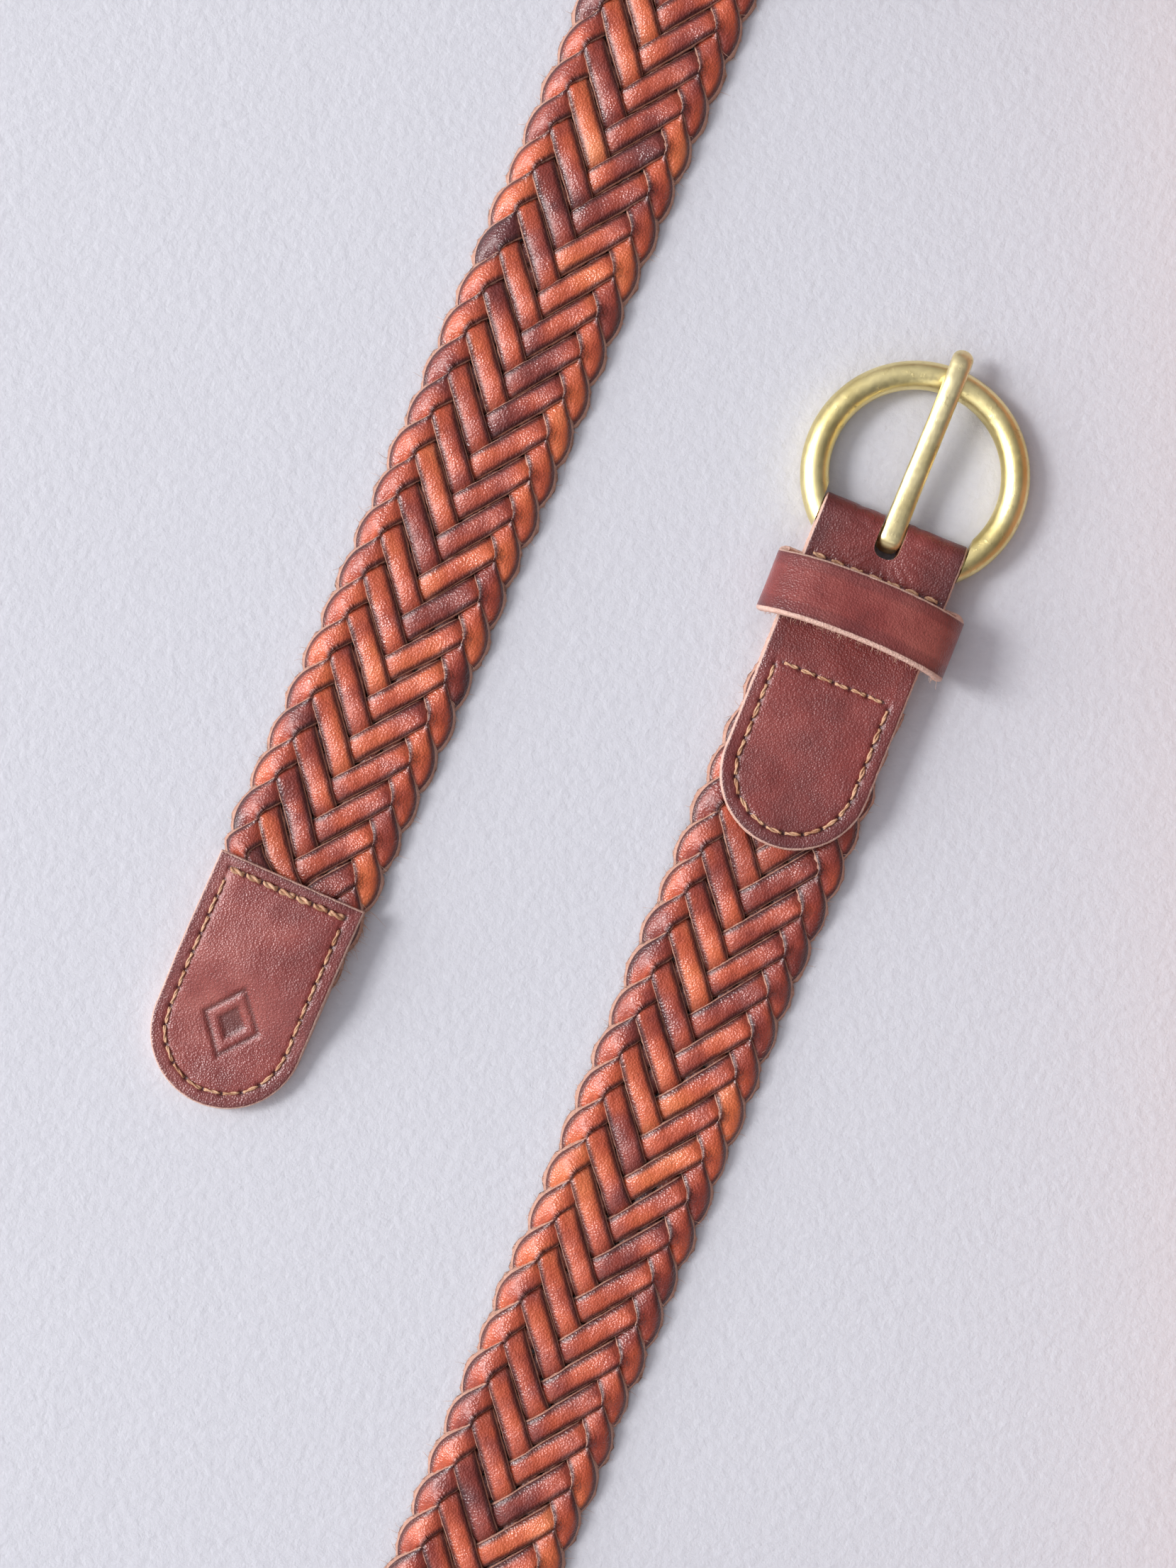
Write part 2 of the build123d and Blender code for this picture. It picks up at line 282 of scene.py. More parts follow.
def one_period():
    """Evenly stepped middle line of one strand over one period, with its side direction."""
    s = np.linspace(0, PERIOD, 4001)
    u = zigzag(s)
    length = run_along(s, u)
    count = int(round(length[-1] / RING_STEP))
    at = np.linspace(0, length[-1], count + 1)[:-1]
    s_at = np.interp(at, length, s)
    u_at = zigzag(s_at)
    rise = np.gradient(u, s)
    slope = np.arctan(np.interp(s_at, s, rise))
    return s_at, u_at, np.stack([-np.sin(slope), np.cos(slope)], axis=-1)


def between_lanes(v):
    """For places across a strand, -1 to 1: the lane before each, and the share of the next one."""
    at = (v + 1) / 2 * (len(LANES) - 1)
    low = np.clip(np.floor(at).astype(int), 0, len(LANES) - 2)
    return low, at - low


def half_thickness(v):
    """Half the strand's thickness across its width, v from -1 to 1."""
    return STRAND_THICK_HALF * (0.62 + 0.38 * np.sqrt(np.maximum(1 - v * v, 0)))


SETTLE_ROUNDS = 700
EVEN_OUT = 0.45  # share of each step towards a smooth line
STAY_FLAT = 0.35  # and towards a straight cross-section
SINK = 0.95  # pull back towards the braid's middle
PUSH = 0.5  # share of an overlap that one step clears


def settle_strand():
    """Height of one strand's middle layer over one period, from pressing the strands together."""
    s, u, side = one_period()
    offset = LANES * STRAND_HALF
    grid_s = s[:, None] + side[:, 0:1] * offset
    grid_u = u[:, None] + side[:, 1:2] * offset
    height = np.zeros_like(grid_s)
    contacts = []  # per touching point: row, lane, the other strand's row and place, above or below
    for other in range(1, STRANDS):
        ds = grid_s[..., None] - PLAIT_STEP * other - s
        ds = ds - PERIOD * np.round(ds / PERIOD)
        du = grid_u[..., None] - u
        nearest = np.argmin(ds**2 + du**2, axis=-1)
        near_ds = np.take_along_axis(ds, nearest[..., None], -1)[..., 0]
        near_du = np.take_along_axis(du, nearest[..., None], -1)[..., 0]
        v = (near_ds * side[nearest, 0] + near_du * side[nearest, 1]) / STRAND_HALF
        touching = (np.abs(v) < 1) & (near_ds**2 + near_du**2 < (STRAND_HALF * 1.1)**2)
        rows, lanes = np.nonzero(touching)
        phase = grid_s[rows, lanes] / PERIOD
        from_first = np.abs((phase - other / (2 * STRANDS) + 0.5) % 1 - 0.5)
        right_going = from_first < 0.25
        crossing = np.where(right_going, other, STRANDS - other)
        left_on_top = np.isin(crossing, LEFT_ON_TOP)
        sign = np.where(left_on_top == right_going, -1.0, 1.0)
        contacts.append((rows, lanes, nearest[rows, lanes], v[rows, lanes], sign))
    rows, lanes, other_row, other_v, sign = (np.concatenate(column) for column in zip(*contacts))
    low, share = between_lanes(other_v)
    room = half_thickness(LANES[lanes]) + half_thickness(other_v)
    height[rows, lanes] = sign * STRAND_THICK_HALF * 0.6  # a start that is already interlaced
    for _ in range(SETTLE_ROUNDS):
        for _ in range(2):
            height += EVEN_OUT * ((np.roll(height, 1, 0) + np.roll(height, -1, 0)) / 2 - height)
        mean = height.mean(axis=1, keepdims=True)
        tilt = (height * LANES).sum(axis=1, keepdims=True) / (LANES**2).sum()
        height += STAY_FLAT * (mean + tilt * LANES - height)
        height *= SINK
        facing = height[other_row, low] * (1 - share) + height[other_row, low + 1] * share
        push = np.maximum(room - sign * (height[rows, lanes] - facing), 0)
        height[rows, lanes] += sign * PUSH * push
    bow = np.polyfit((grid_u**2).ravel(), height.ravel(), 1)
    return height - np.polyval(bow, grid_u**2)


RIM_POINT = 12  # the outline's point in the middle of its right rim


def section_outline():
    """A strand's cross-section: lane (-1 to 1), height, and how far a turn spreads that point."""
    arc = math.radians(70)
    top_v = np.sin(np.linspace(-1, 1, 11) * arc) * 0.92 / math.sin(arc)
    top = [(v, half_thickness(v) * top_crown(v), 0.0) for v in top_v]
    right = [(0.965, 0.14, 0.03), (1.005, -0.16, 0.10), (1.01, -0.44, 0.15)]
    bottom = [(v, -0.9 * half_thickness(v), 0.0) for v in np.linspace(0.9, -0.9, 5)]
    left = [(-v, z, spread) for v, z, spread in reversed(right)]
    return np.array(top + right + bottom + left)


def top_crown(v):
    """The grain side bulges in the middle and rolls over at the edges."""
    return 1.26 - 0.62 * abs(v) ** 2.6


def smooth_noise(count, scale, rng):
    """Gentle random values about zero, count samples, with features scale samples long."""
    knots = rng.normal(size=int(count / scale) + 4)
    at = np.arange(count) / scale + 1
    left = at.astype(int)
    t = smooth_step(at - left)
    return knots[left] * (1 - t) + knots[left + 1] * t


def make_strands(material):
    """Nine strands; gives the points of their rims at the turns: along, across, out and side."""
    s0, u0, side0 = one_period()
    height0 = settle_strand()
    outline = section_outline()
    lane, rise, spread = outline.T
    low, share = between_lanes(np.clip(lane, -1, 1))
    turning = smooth_step((np.abs(u0) - TURN_START) / (TURN_APEX - TURN_START))  # 1 at the turns
    outward = np.sign(u0)[:, None] * np.sign(side0[:, 1])[:, None] * np.sign(lane)
    rng = np.random.default_rng(7)
    loops = []
    first = NECK_START + END_CLEAR + 0.5
    last = MOUTH + TIP_NECK - END_CLEAR
    for strand in range(STRANDS):
        shift = strand * PLAIT_STEP + PLAIT_PHASE
        periods = np.arange(-2, int(last / PERIOD) + 3)
        s_mid = (periods[:, None] * PERIOD + s0 + shift).ravel()
        rows = np.tile(np.arange(len(s0)), len(periods))
        keep = (s_mid > first) & (s_mid < last)
        s_mid, rows = s_mid[keep], rows[keep]
        count = len(s_mid)
        width = STRAND_HALF * (1 + WIDTH_VARIES * smooth_noise(count, 9, rng))
        sway = STRAND_SWAY * smooth_noise(count, 22, rng)
        lift = STRAND_LIFT * smooth_noise(count, 14, rng)
        turned = turning[rows][:, None]
        frayed = FRAYED * (np.abs(lane) > 1.0) * (1 + 1.2 * turned)
        ragged = 1 + rng.normal(size=(count, len(outline))) * frayed
        outer = turned * (outward[rows] > 0)
        v = (lane + np.sign(lane) * spread * outer) * ragged * width[:, None] + sway[:, None]
        s = s_mid[:, None] + side0[rows, 0][:, None] * v
        u = u0[rows][:, None] + side0[rows, 1][:, None] * v
        u = u * (1 - CHAPE_PINCH * smooth_step((CHAPE_LENGTH - 14 - s) / 8))
        in_tip = smooth_step((s - MOUTH + 2.5) / 4)
        u = u * (1 - TIP_PINCH * in_tip) + TIP_SHIFT * in_tip
        layer = height0[rows][:, low] * (1 - share) + height0[rows][:, low + 1] * share
        curl = -LOOP_CURL * outer * np.abs(lane) ** 3
        squash = 1 - neck_share(s) * NECK_SQUASH
        z = (layer + rise + curl + lift[:, None]) * squash
        inside = np.clip(s, NECK_START + END_CLEAR, MOUTH + TIP_NECK - 0.1)
        points = above_floor(on_strap(inside, u, z))
        piece = make_object(
            "strand_%d" % (strand + 1), points.reshape(-1, 3),
            tube_faces(count, len(outline)), [material], "strap"
        )
        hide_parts("braid")
        edge = np.clip((np.abs(lane) - 0.90) / 0.05, 0, 1)
        for name, values in (("cut_edge", edge), ("flesh", rise < -0.6), ("lane", lane)):
            point_value(piece, name, np.tile(values, (count, 1)))
        # painted shade: how low the strand lies where it dives under its neighbours, none at the
        # turns
        point_value(piece, "low", np.clip((1.95 - z) / 1.5, 0, 1) * (1 - turned))
        point_value(piece, "fold", turned * np.clip(-outward[rows] * np.abs(lane), 0, 1))
        rim_rows = np.nonzero(turning[rows] > 0.55)[0]
        rim_side = np.where(outward[rows[rim_rows], RIM_POINT] > 0, RIM_POINT, len(outline) - 2)
        rim = rim_rows, rim_side
        loops.append(np.stack([s[rim], u[rim], z[rim], np.sign(u[rim])], axis=-1))
        along = np.arange(count) * RING_STEP
        point_value(piece, "along", np.tile(along[:, None], (1, len(outline))))
        tone = smooth_noise(count, 22, rng) * 0.6 + rng.normal() * 0.45
        point_value(piece, "tone", np.repeat(tone, len(outline)))
    return np.concatenate(loops)


# ---- raw fibres
FIBRE_R = 0.045
BRAID_FIBRES = 3000
TIP_FIBRES = 90
KEEPER_FIBRES = 110


def make_fuzz(name, roots, outward, reach, material, body, slot, seed):
    """Fine tapering fibres that stand out of a raw edge, in strap coordinates."""
    rng = np.random.default_rng(seed)
    count = len(roots)
    steps = np.array([-0.3, 0.3, 0.7, 1.0])  # along a fibre, from its root in the leather
    taper = np.array([1.0, 1.0, 0.75, 0.25])
    length = rng.uniform(*reach, count) * rng.uniform(0.5, 1.0, count)
    way = outward + rng.normal(size=(count, 3)) * (0.55, 0.35, 0.30)
    bend = rng.normal(size=(count, 3)) * 0.5
    path = way[:, None] * steps[None, :, None] + bend[:, None] * (steps**2)[None, :, None]
    path = roots[:, None] + path * length[:, None, None]
    side = np.cross(way, rng.normal(size=(count, 3)))
    side /= np.linalg.norm(side, axis=1, keepdims=True)
    other = np.cross(way, side)
    other /= np.linalg.norm(other, axis=1, keepdims=True)
    turn = np.radians([0, 120, 240])[None, :, None]
    spread = side[:, None] * np.cos(turn) + other[:, None] * np.sin(turn)
    points = path[:, :, None] + spread[:, None] * (taper * FIBRE_R)[None, :, None, None]
    verts = above_floor(on_strap(points[..., 0], points[..., 1], points[..., 2])).reshape(-1, 3)
    around = turn.size
    each = len(steps) * around
    faces = [face for i in range(count) for face in tube_faces(len(steps), around, i * each)]
    return make_object(name, verts, faces, [material], body)


def make_braid_fibres(rims, material):
    """Fibres on the loops all along the braid, and longer ones where the tip squeezes it."""
    picked = rims[np.random.default_rng(41).choice(len(rims), BRAID_FIBRES, replace=False)]
    out = np.zeros((BRAID_FIBRES, 3))
    out[:, 1] = picked[:, 3]
    where = "strap", "braid_leather"
    make_fuzz("braid_fibres", picked[:, :3], out, (0.3, 1.4), material, *where, 42)
    at_tip = rims[(rims[:, 0] > MOUTH - 1) & (rims[:, 0] < MOUTH + 16) & (rims[:, 1] > 0)]
    picked = at_tip[np.random.default_rng(43).integers(0, len(at_tip), TIP_FIBRES)]
    out = np.array([0.5, 0.8, 0.2])
    make_fuzz("tip_fibres", picked[:, :3], out, (0.8, 2.4), material, *where, 44)


# ---- leather leaves
RIM_STEPS = (0.0, 0.1, 0.25, 0.45, 0.7, 1.0, 1.5, 2.0, 2.4, 2.65, 2.9, 3.15, 3.4, 3.8)
RIM_R = 0.55  # rounding of a leaf's rim
MARGIN = 2.9  # rim to the line of stitches
GROOVE_HALF = 0.5  # of the groove that stitches lie in
HOLE_DEEP = 0.3
ROW_STEP = 0.5


def inward_steps(half):
    """Distances from the rim to the middle: fine at the rim and at the stitches."""
    count = int(round((half - RIM_STEPS[-1]) / ROW_STEP))
    return np.concatenate([RIM_STEPS, np.linspace(RIM_STEPS[-1], half, count + 1)[1:]])


def round_cap(x, y):
    """A half square, x from 0 to 1 and y from -1 to 1, bent into a half disc of circles."""
    radius = np.maximum(np.abs(x), np.abs(y))
    with np.errstate(divide="ignore", invalid="ignore"):
        turn = np.where(
            np.abs(x) >= np.abs(y),
            np.where(radius > 0, y / np.where(x == 0, 1, x), 0) * math.pi / 4,
            np.sign(y) * (math.pi / 2 - np.abs(x) / np.where(y == 0, 1, np.abs(y)) * math.pi / 4),
        )
    return radius * np.cos(turn), radius * np.sin(turn)


def leaf_grid(half, straight, first_round, last_round):
    """Length, width and distance from the rim over a leaf with square or round ends."""
    steps = inward_steps(half)
    across = np.concatenate([steps - half, (half - steps[:-1])[::-1]])
    count = int(round(straight / ROW_STEP))
    body = np.linspace(0, straight, count + 1)
    if not first_round:
        body = np.unique(np.concatenate([body, RIM_STEPS[:8]]))
    length, width = np.meshgrid(body, across, indexing="ij")
    length, width = length.copy(), width.copy()
    x, y = np.meshgrid((half - steps[:-1]) / half, across / half, indexing="ij")
    cap_x, cap_y = round_cap(x, y)
    if last_round:
        length = np.concatenate([length, (straight + cap_x * half)[::-1]])
        width = np.concatenate([width, (cap_y * half)[::-1]])
    if first_round:
        length = np.concatenate([-cap_x * half, length])
        width = np.concatenate([cap_y * half, width])
    beyond = np.maximum(np.maximum(length - straight, 0), np.maximum(-length, 0) * first_round)
    rim = half - np.hypot(beyond, width)
    if not first_round:
        rim = np.minimum(rim, length)
    return length, width, np.maximum(rim, 0)


def rounding(rim, radius):
    """How far a rounded rim lies below the face, from the distance to the rim."""
    return radius - np.sqrt(np.maximum(radius**2 - np.maximum(radius - rim, 0) ** 2, 0))


def leather_leaf(node, grid, place, dents, materials):
    """A leather leaf: place(length, width, out) gives points, out measured from its middle."""
    name = node + "_leather"
    length, width, rim = grid
    rows, cols = length.shape
    sunk = rounding(rim, RIM_R)
    grain = place(length, width, LEAF / 2 - sunk * 0.8 - dents(length, width, rim, 1))
    flesh = place(length, width, -LEAF / 2 + sunk * 0.5 + dents(length, width, rim, -1))
    loop = np.concatenate([
        np.arange(cols), np.arange(1, rows) * cols + cols - 1,
        (rows - 1) * cols + np.arange(cols - 2, -1, -1), np.arange(rows - 2, 0, -1) * cols,
    ])
    verts = np.concatenate([grain.reshape(-1, 3), flesh.reshape(-1, 3)])
    top, bottom = verts[loop], verts[loop + rows * cols]
    inner = place(length, width, 0 * length).reshape(-1, 3)[loop]
    ahead = np.roll(inner, -1, 0) - np.roll(inner, 1, 0)
    outward = np.cross(ahead, top - bottom)
    outward /= np.linalg.norm(outward, axis=1, keepdims=True)
    rng = np.random.default_rng(len(name))
    belly = 0.10 + 0.03 * rng.normal(size=(len(loop), 1))
    edge = [top * (1 - t) + bottom * t + outward * belly for t in (0.3, 0.7)]
    verts = np.concatenate([verts] + edge)
    i = np.arange(rows - 1)[:, None] * cols + np.arange(cols - 1)[None, :]
    up = np.stack([i, i + cols, i + cols + 1, i + 1], axis=-1).reshape(-1, 4)
    count = len(loop)
    ring = [loop, 2 * rows * cols + np.arange(count), 2 * rows * cols + count + np.arange(count),
            loop + rows * cols]
    sides = [
        np.stack([a, b, np.roll(b, -1), np.roll(a, -1)], axis=-1) for a, b in zip(ring, ring[1:])
    ]
    faces = np.concatenate([up[:, ::-1], up + rows * cols] + [side[:, ::-1] for side in sides])
    piece = make_object(name, verts, faces.tolist(), materials, "strap")
    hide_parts(node)
    flat_rim = rim.ravel()
    point_value(piece, "rim", np.concatenate([flat_rim, flat_rim, np.full(2 * count, -1.0)]))
    point_value(piece, "flesh", np.repeat([0, 1, 0.5], [rows * cols, rows * cols, 2 * count]))
    return piece


def press_and_hole_shade(piece, grid, holes, stamp):
    """Marks the grain side darker where the stamp presses it, and with painted shade in the needle
    holes.
    """
    length, width, _ = grid
    marks = np.maximum(stamp * 0.8, np.minimum(1.0, 1.2 * hole_dents(length, width, holes)))
    values = np.zeros(len(piece.data.vertices))
    values[:length.size] = marks.ravel()
    point_value(piece, "press", values)


def waves(x, y, seed, length):
    """Slow uneven ripples of about one unit over a surface."""
    rng = np.random.default_rng(seed)
    total = 0
    for _ in range(7):
        angle, phase = rng.uniform(0, 2 * math.pi, 2)
        k = 2 * math.pi / (length * rng.uniform(0.6, 1.6))
        total = total + np.sin(k * (x * math.cos(angle) + y * math.sin(angle)) + phase)
    return total / 4


# ---- rows of stitches
THREAD_R = 0.25  # one ply of the two
PLY_OUT = 0.8 * THREAD_R  # a ply's middle from the thread's
STITCH_RISE = 0.62
TWIST_PITCH = 4.2
STITCH_PITCH = 3.85
BOLD_PITCH = 3.5
BAR_ROW = 8.9
CROSS_ROW = 30.6
TIP_ROW = 2.6
U_GAP = 0.9  # from a row across to the start of the round line
HOLE_R = 0.42
HOLE_WANDER = 0.06


def stitch_ends(points, pitch, length):
    """Pairs of needle holes along a line of points: where each stitch comes up and goes down."""
    points = np.asarray(points, dtype=float)
    run = run_along(*points.T)
    count = int((run[-1] - length) / pitch) + 1
    first = (run[-1] - (count - 1) * pitch) / 2
    pairs = []
    for i in range(count):
        at = np.array([first + i * pitch - length / 2, first + i * pitch + length / 2])
        pairs.append(np.stack([np.interp(at, run, points[:, k]) for k in (0, 1)], axis=-1))
    return pairs


def u_points(start, length, half):
    """Points down one side, round the end and back up the other side: along, across."""
    turn = np.radians(np.linspace(90, -90, 61))
    round_at = length - half
    bend = [(round_at + half * math.cos(a), half * math.sin(a)) for a in turn]
    return [(start, half)] + bend + [(start, -half)]


def hole_dents(length, width, holes):
    """1 at the middle of each needle hole."""
    total = np.zeros_like(length)
    for x, y in holes:
        total += near(np.hypot(length - x, width - y), HOLE_R)
    return total


def make_stitches(name, stitches, surface, material, thick, node):
    """Two-ply thread over each pair of holes; surface(along, across, out) gives points."""
    rings, around = 15, 8
    t = np.linspace(0, 1, rings)
    ease = np.minimum(1, np.minimum(t, 1 - t) / 0.2)
    arch = np.sqrt(1 - (1 - ease) ** 2) * 1.05 - 0.75
    turn = circle(around)
    verts, faces = [], []
    rng = np.random.default_rng(5 + len(name))
    for first, last in stitches:
        first = first + rng.normal(size=2) * HOLE_WANDER
        last = last + rng.normal(size=2) * HOLE_WANDER
        way = last - first
        side = np.array([-way[1], way[0]]) / np.hypot(*way)
        start = rng.uniform(0, math.pi)
        for ply in (0, math.pi):
            twist = start + ply + t * np.hypot(*way) / TWIST_PITCH * 2 * math.pi
            sway = np.sin(math.pi * t) * rng.normal() * 0.05
            centre = first + way * (0.02 + 0.96 * t[:, None])
            off = thick * PLY_OUT * np.cos(twist) + sway
            lift = arch * thick * STITCH_RISE + thick * PLY_OUT * np.sin(twist)
            r = thick * THREAD_R * (0.86 + 0.14 * ease)
            across = off[:, None] + r[:, None] * np.cos(turn)
            out = lift[:, None] + r[:, None] * np.sin(turn)
            x = centre[:, 0:1] + side[0] * across
            y = centre[:, 1:2] + side[1] * across
            faces += tube_faces(rings, around, len(verts) * rings * around)
            verts.append(surface(x, y, out).reshape(-1, 3))
    piece = make_object(name, np.concatenate(verts), faces, [material], "strap")
    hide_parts(node)


# ---- chape
CHAPE_R = CHAPE_HALF
FOLD_MID = (GAP + LEAF) / 2
FOLD_RUN = math.pi * FOLD_MID
CHAPE_STRAIGHT = CHAPE_LENGTH - CHAPE_R
SLOT_HALF = 2.45
SLOT_REACH = 4.9  # from the bar
SLOT_START = -9.0  # beyond the fold
SLOT_ROUND = 0.85  # 1 for a half circle, less for squarer corners
CUT_ANGLE = math.radians(48)  # edges of a cut that are sharper stay sharp
CHAPE_U = stitch_ends(
    u_points(CROSS_ROW + U_GAP, CHAPE_LENGTH - MARGIN, CHAPE_R - MARGIN), STITCH_PITCH, 3.35
)
CROSS_STITCHES = stitch_ends(
    [(CROSS_ROW, MARGIN - CHAPE_R), (CROSS_ROW, CHAPE_R - MARGIN)], BOLD_PITCH, 3.1
)
BAR_STITCHES = stitch_ends([(BAR_ROW, 0.6 - CHAPE_R), (BAR_ROW, CHAPE_R - 0.6)], STITCH_PITCH, 2.9)
CHAPE_HOLES = np.concatenate(CHAPE_U + CROSS_STITCHES + BAR_STITCHES)


def chape_along(length):
    """Distance from the bar on either leaf."""
    past = length - CHAPE_STRAIGHT - FOLD_RUN
    return np.where(length < CHAPE_STRAIGHT, CHAPE_STRAIGHT - length, np.maximum(past, 0))


def chape_place(length, width, out):
    """The chape unrolled: from the start of the front's D, up to the bar, round it and back."""
    turn = np.clip((length - CHAPE_STRAIGHT) / FOLD_MID, 0, math.pi)
    from_bar = chape_along(length) - np.sin(turn) * (FOLD_MID + out)
    return on_strap(from_bar, width, np.cos(turn) * (FOLD_MID + out))


def chape_dents(length, width, rim, side):
    """How far the grain side (side 1) lies below a plain leaf; the flesh side is plain."""
    s = chape_along(length)
    if side < 0:
        return 0 * s
    edge_line = near(rim - MARGIN, GROOVE_HALF) * (s > CROSS_ROW)
    in_row = np.abs(width) < CHAPE_R - MARGIN + 0.4
    groove = 0.2 * edge_line + 0.12 * near(s - BAR_ROW, GROOVE_HALF)
    groove = groove + 0.16 * near(s - CROSS_ROW, GROOVE_HALF) * in_row * (1 - edge_line)
    holes = HOLE_DEEP * hole_dents(s, width, CHAPE_HOLES)
    slow = 0.16 * waves(length, width, 3, 22) + 0.04 * waves(length, width, 4, 6)
    # creases fan out below the prong's slot, where the leather bends over the bar
    angle = np.arctan2(width, s - 2.0)
    reach = np.hypot(width, s - 2.0)
    uneven = 0.5 + 0.5 * waves(length, width, 5, 5)
    fan = np.sin(angle * 23 + waves(length, width, 6, 4))
    crease = 0.19 * fan * uneven * near(reach - 6.5, 3.0) * (s < 14)
    press = 0.3 * near(np.hypot(width, (s - SLOT_REACH) * 0.8), 3.0)
    dents = groove + holes + slow * smooth_step(rim / 2) + crease + press
    return np.where(length > CHAPE_STRAIGHT + FOLD_RUN, np.abs(dents), dents)


def slot_cutter(material):
    """A tapered key-shaped block that cuts the prong's opening through the fold."""
    turn = np.linspace(0, math.pi, 21)
    end = SLOT_REACH - SLOT_HALF + SLOT_HALF * np.abs(np.sin(turn)) ** SLOT_ROUND
    along = np.append([SLOT_START, SLOT_START], end)
    across = np.append([-1, 1], squared(np.cos(turn), SLOT_ROUND)) * SLOT_HALF
    verts = []
    for z, grow in ((-3.0, 1.0), (STACK / 2, 0.98), (STACK - 0.5, 1.0), (STACK + 3.0, 1.3)):
        grown = SLOT_REACH + (along - SLOT_REACH) * grow + (grow - 1) * 2
        s = np.where(along > 0, grown, along)
        verts.append(on_strap(s, across * grow, np.full(len(s), z - STACK / 2)))
    faces = tube_faces(len(verts), len(along))
    return closed_mesh("slot_cutter", np.concatenate(verts), faces, [material])


def cut_away(piece, cutter):
    """Subtracts the cutter from the piece for good, and keeps the cutter's material on the cut."""
    modifier = piece.modifiers.new("cut", "BOOLEAN")
    modifier.object = cutter
    modifier.operation = "DIFFERENCE"
    modifier.solver = "EXACT"
    modifier.material_mode = "TRANSFER"
    bpy.context.view_layer.update()
    shaped = piece.evaluated_get(bpy.context.evaluated_depsgraph_get())
    mesh = bpy.data.meshes.new_from_object(shaped)
    piece.modifiers.clear()
    old, piece.data = piece.data, mesh
    bpy.data.meshes.remove(old)
    bpy.data.objects.remove(cutter)
    mesh.set_sharp_from_angle(angle=CUT_ANGLE)


CHAPE_FOLD_SHADE = 0.15  # painted shade towards the bar, where the leather curves down over it away from the light


def make_chape(leather, cut, thread):
    """The folded leather, its slot and its three lines of stitches."""
    grid = leaf_grid(CHAPE_R, 2 * CHAPE_STRAIGHT + FOLD_RUN, True, True)
    chape = leather_leaf("chape", grid, chape_place, chape_dents, [leather, cut])
    front = (np.where(grid[0] < CHAPE_STRAIGHT, CHAPE_STRAIGHT - grid[0], -99), grid[1], grid[2])
    press_and_hole_shade(chape, front, CHAPE_HOLES, 0 * grid[0])
    # painted shade: the tone darkens towards the bar on both leaves
    along = chape_along(grid[0]).ravel()
    flat = len(chape.data.vertices) - 2 * along.size
    tone = np.concatenate([along, along, np.full(flat, 20.0)])
    point_value(chape, "tone", CHAPE_FOLD_SHADE * (smooth_step((tone - 2) / 22) - 1))
    cut_away(chape, slot_cutter(cut))

    def on_front(s, u, out):
        return on_strap(s, u, STACK / 2 + out - 0.1)

    later = CHAPE_U + CROSS_STITCHES
    make_stitches("chape_thread", later, on_front, thread, 0.82, "chape_stitching")
    make_stitches("bar_row_thread", BAR_STITCHES, on_front, thread, 1.0, "bar_row_stitching")


# ---- tip
TIP_STRAIGHT = TIP_LENGTH - TIP_HALF
TIP_SHEEN = 0.11  # painted sheen: the tip's leather drawn a little paler than the chape's
TIP_STEP = 16.5  # where the front leaf goes down past the braid's end
TIP_STEP_RUN = 17
STAMP_DEEP = 0.45
STAMP_AT = 30.0  # the pressed diamond's middle, and its half sizes
STAMP_LONG = 8.0
STAMP_BROAD = 6.4
STAMP_SOFT = 0.10
TIP_U = stitch_ends(
    u_points(TIP_ROW + U_GAP, TIP_LENGTH - MARGIN, TIP_HALF - MARGIN), STITCH_PITCH, 3.4
)
TIP_STITCHES = stitch_ends(
    [(TIP_ROW, MARGIN - TIP_HALF - 0.4), (TIP_ROW, TIP_HALF - MARGIN + 0.4)], BOLD_PITCH, 3.2
)
TIP_HOLES = np.concatenate(TIP_U + TIP_STITCHES)


def tip_height(length):
    """Middle of the front leaf: over the braid, then down to the back leaf."""
    return STACK - LEAF / 2 - GAP * smooth_step((length - TIP_STEP) / TIP_STEP_RUN)


def tip_dents(length, width, rim, side):
    """The same for the tip's front leaf."""
    if side < 0:
        return 0 * length
    from_side = np.where(length < TIP_STRAIGHT, TIP_HALF - np.abs(width), rim)
    line = near(from_side - MARGIN, GROOVE_HALF) * (length > TIP_ROW)
    row = near(length - TIP_ROW, 0.55) * (np.abs(width) < TIP_HALF - MARGIN + 0.5)
    holes = HOLE_DEEP * hole_dents(length, width, TIP_HOLES)
    slow = 0.14 * waves(length, width, 11, 20) + 0.05 * waves(length, width, 12, 6)
    grooves = 0.2 * line + 0.25 * row * (1 - line)
    return grooves + holes + slow * smooth_step(rim / 2) + STAMP_DEEP * lozenge(length, width)


def tip_side_drop(length, width):
    """How much the front leaf bends down over the braid's edges near the tip's mouth."""
    return 0.5 * smooth_step((np.abs(width) - 9) / 6) * (1 - smooth_step((length - 8) / 20))


def lozenge(length, width):
    """A plain pressed diamond: a broad line round a flat field. From 0 to 1."""
    size = np.abs(length - STAMP_AT) / STAMP_LONG + np.abs(width) / STAMP_BROAD
    line = smooth_step((1.0 - size) / STAMP_SOFT) * smooth_step((size - 0.74) / STAMP_SOFT)
    return np.maximum(line, smooth_step((0.50 - size) / STAMP_SOFT))


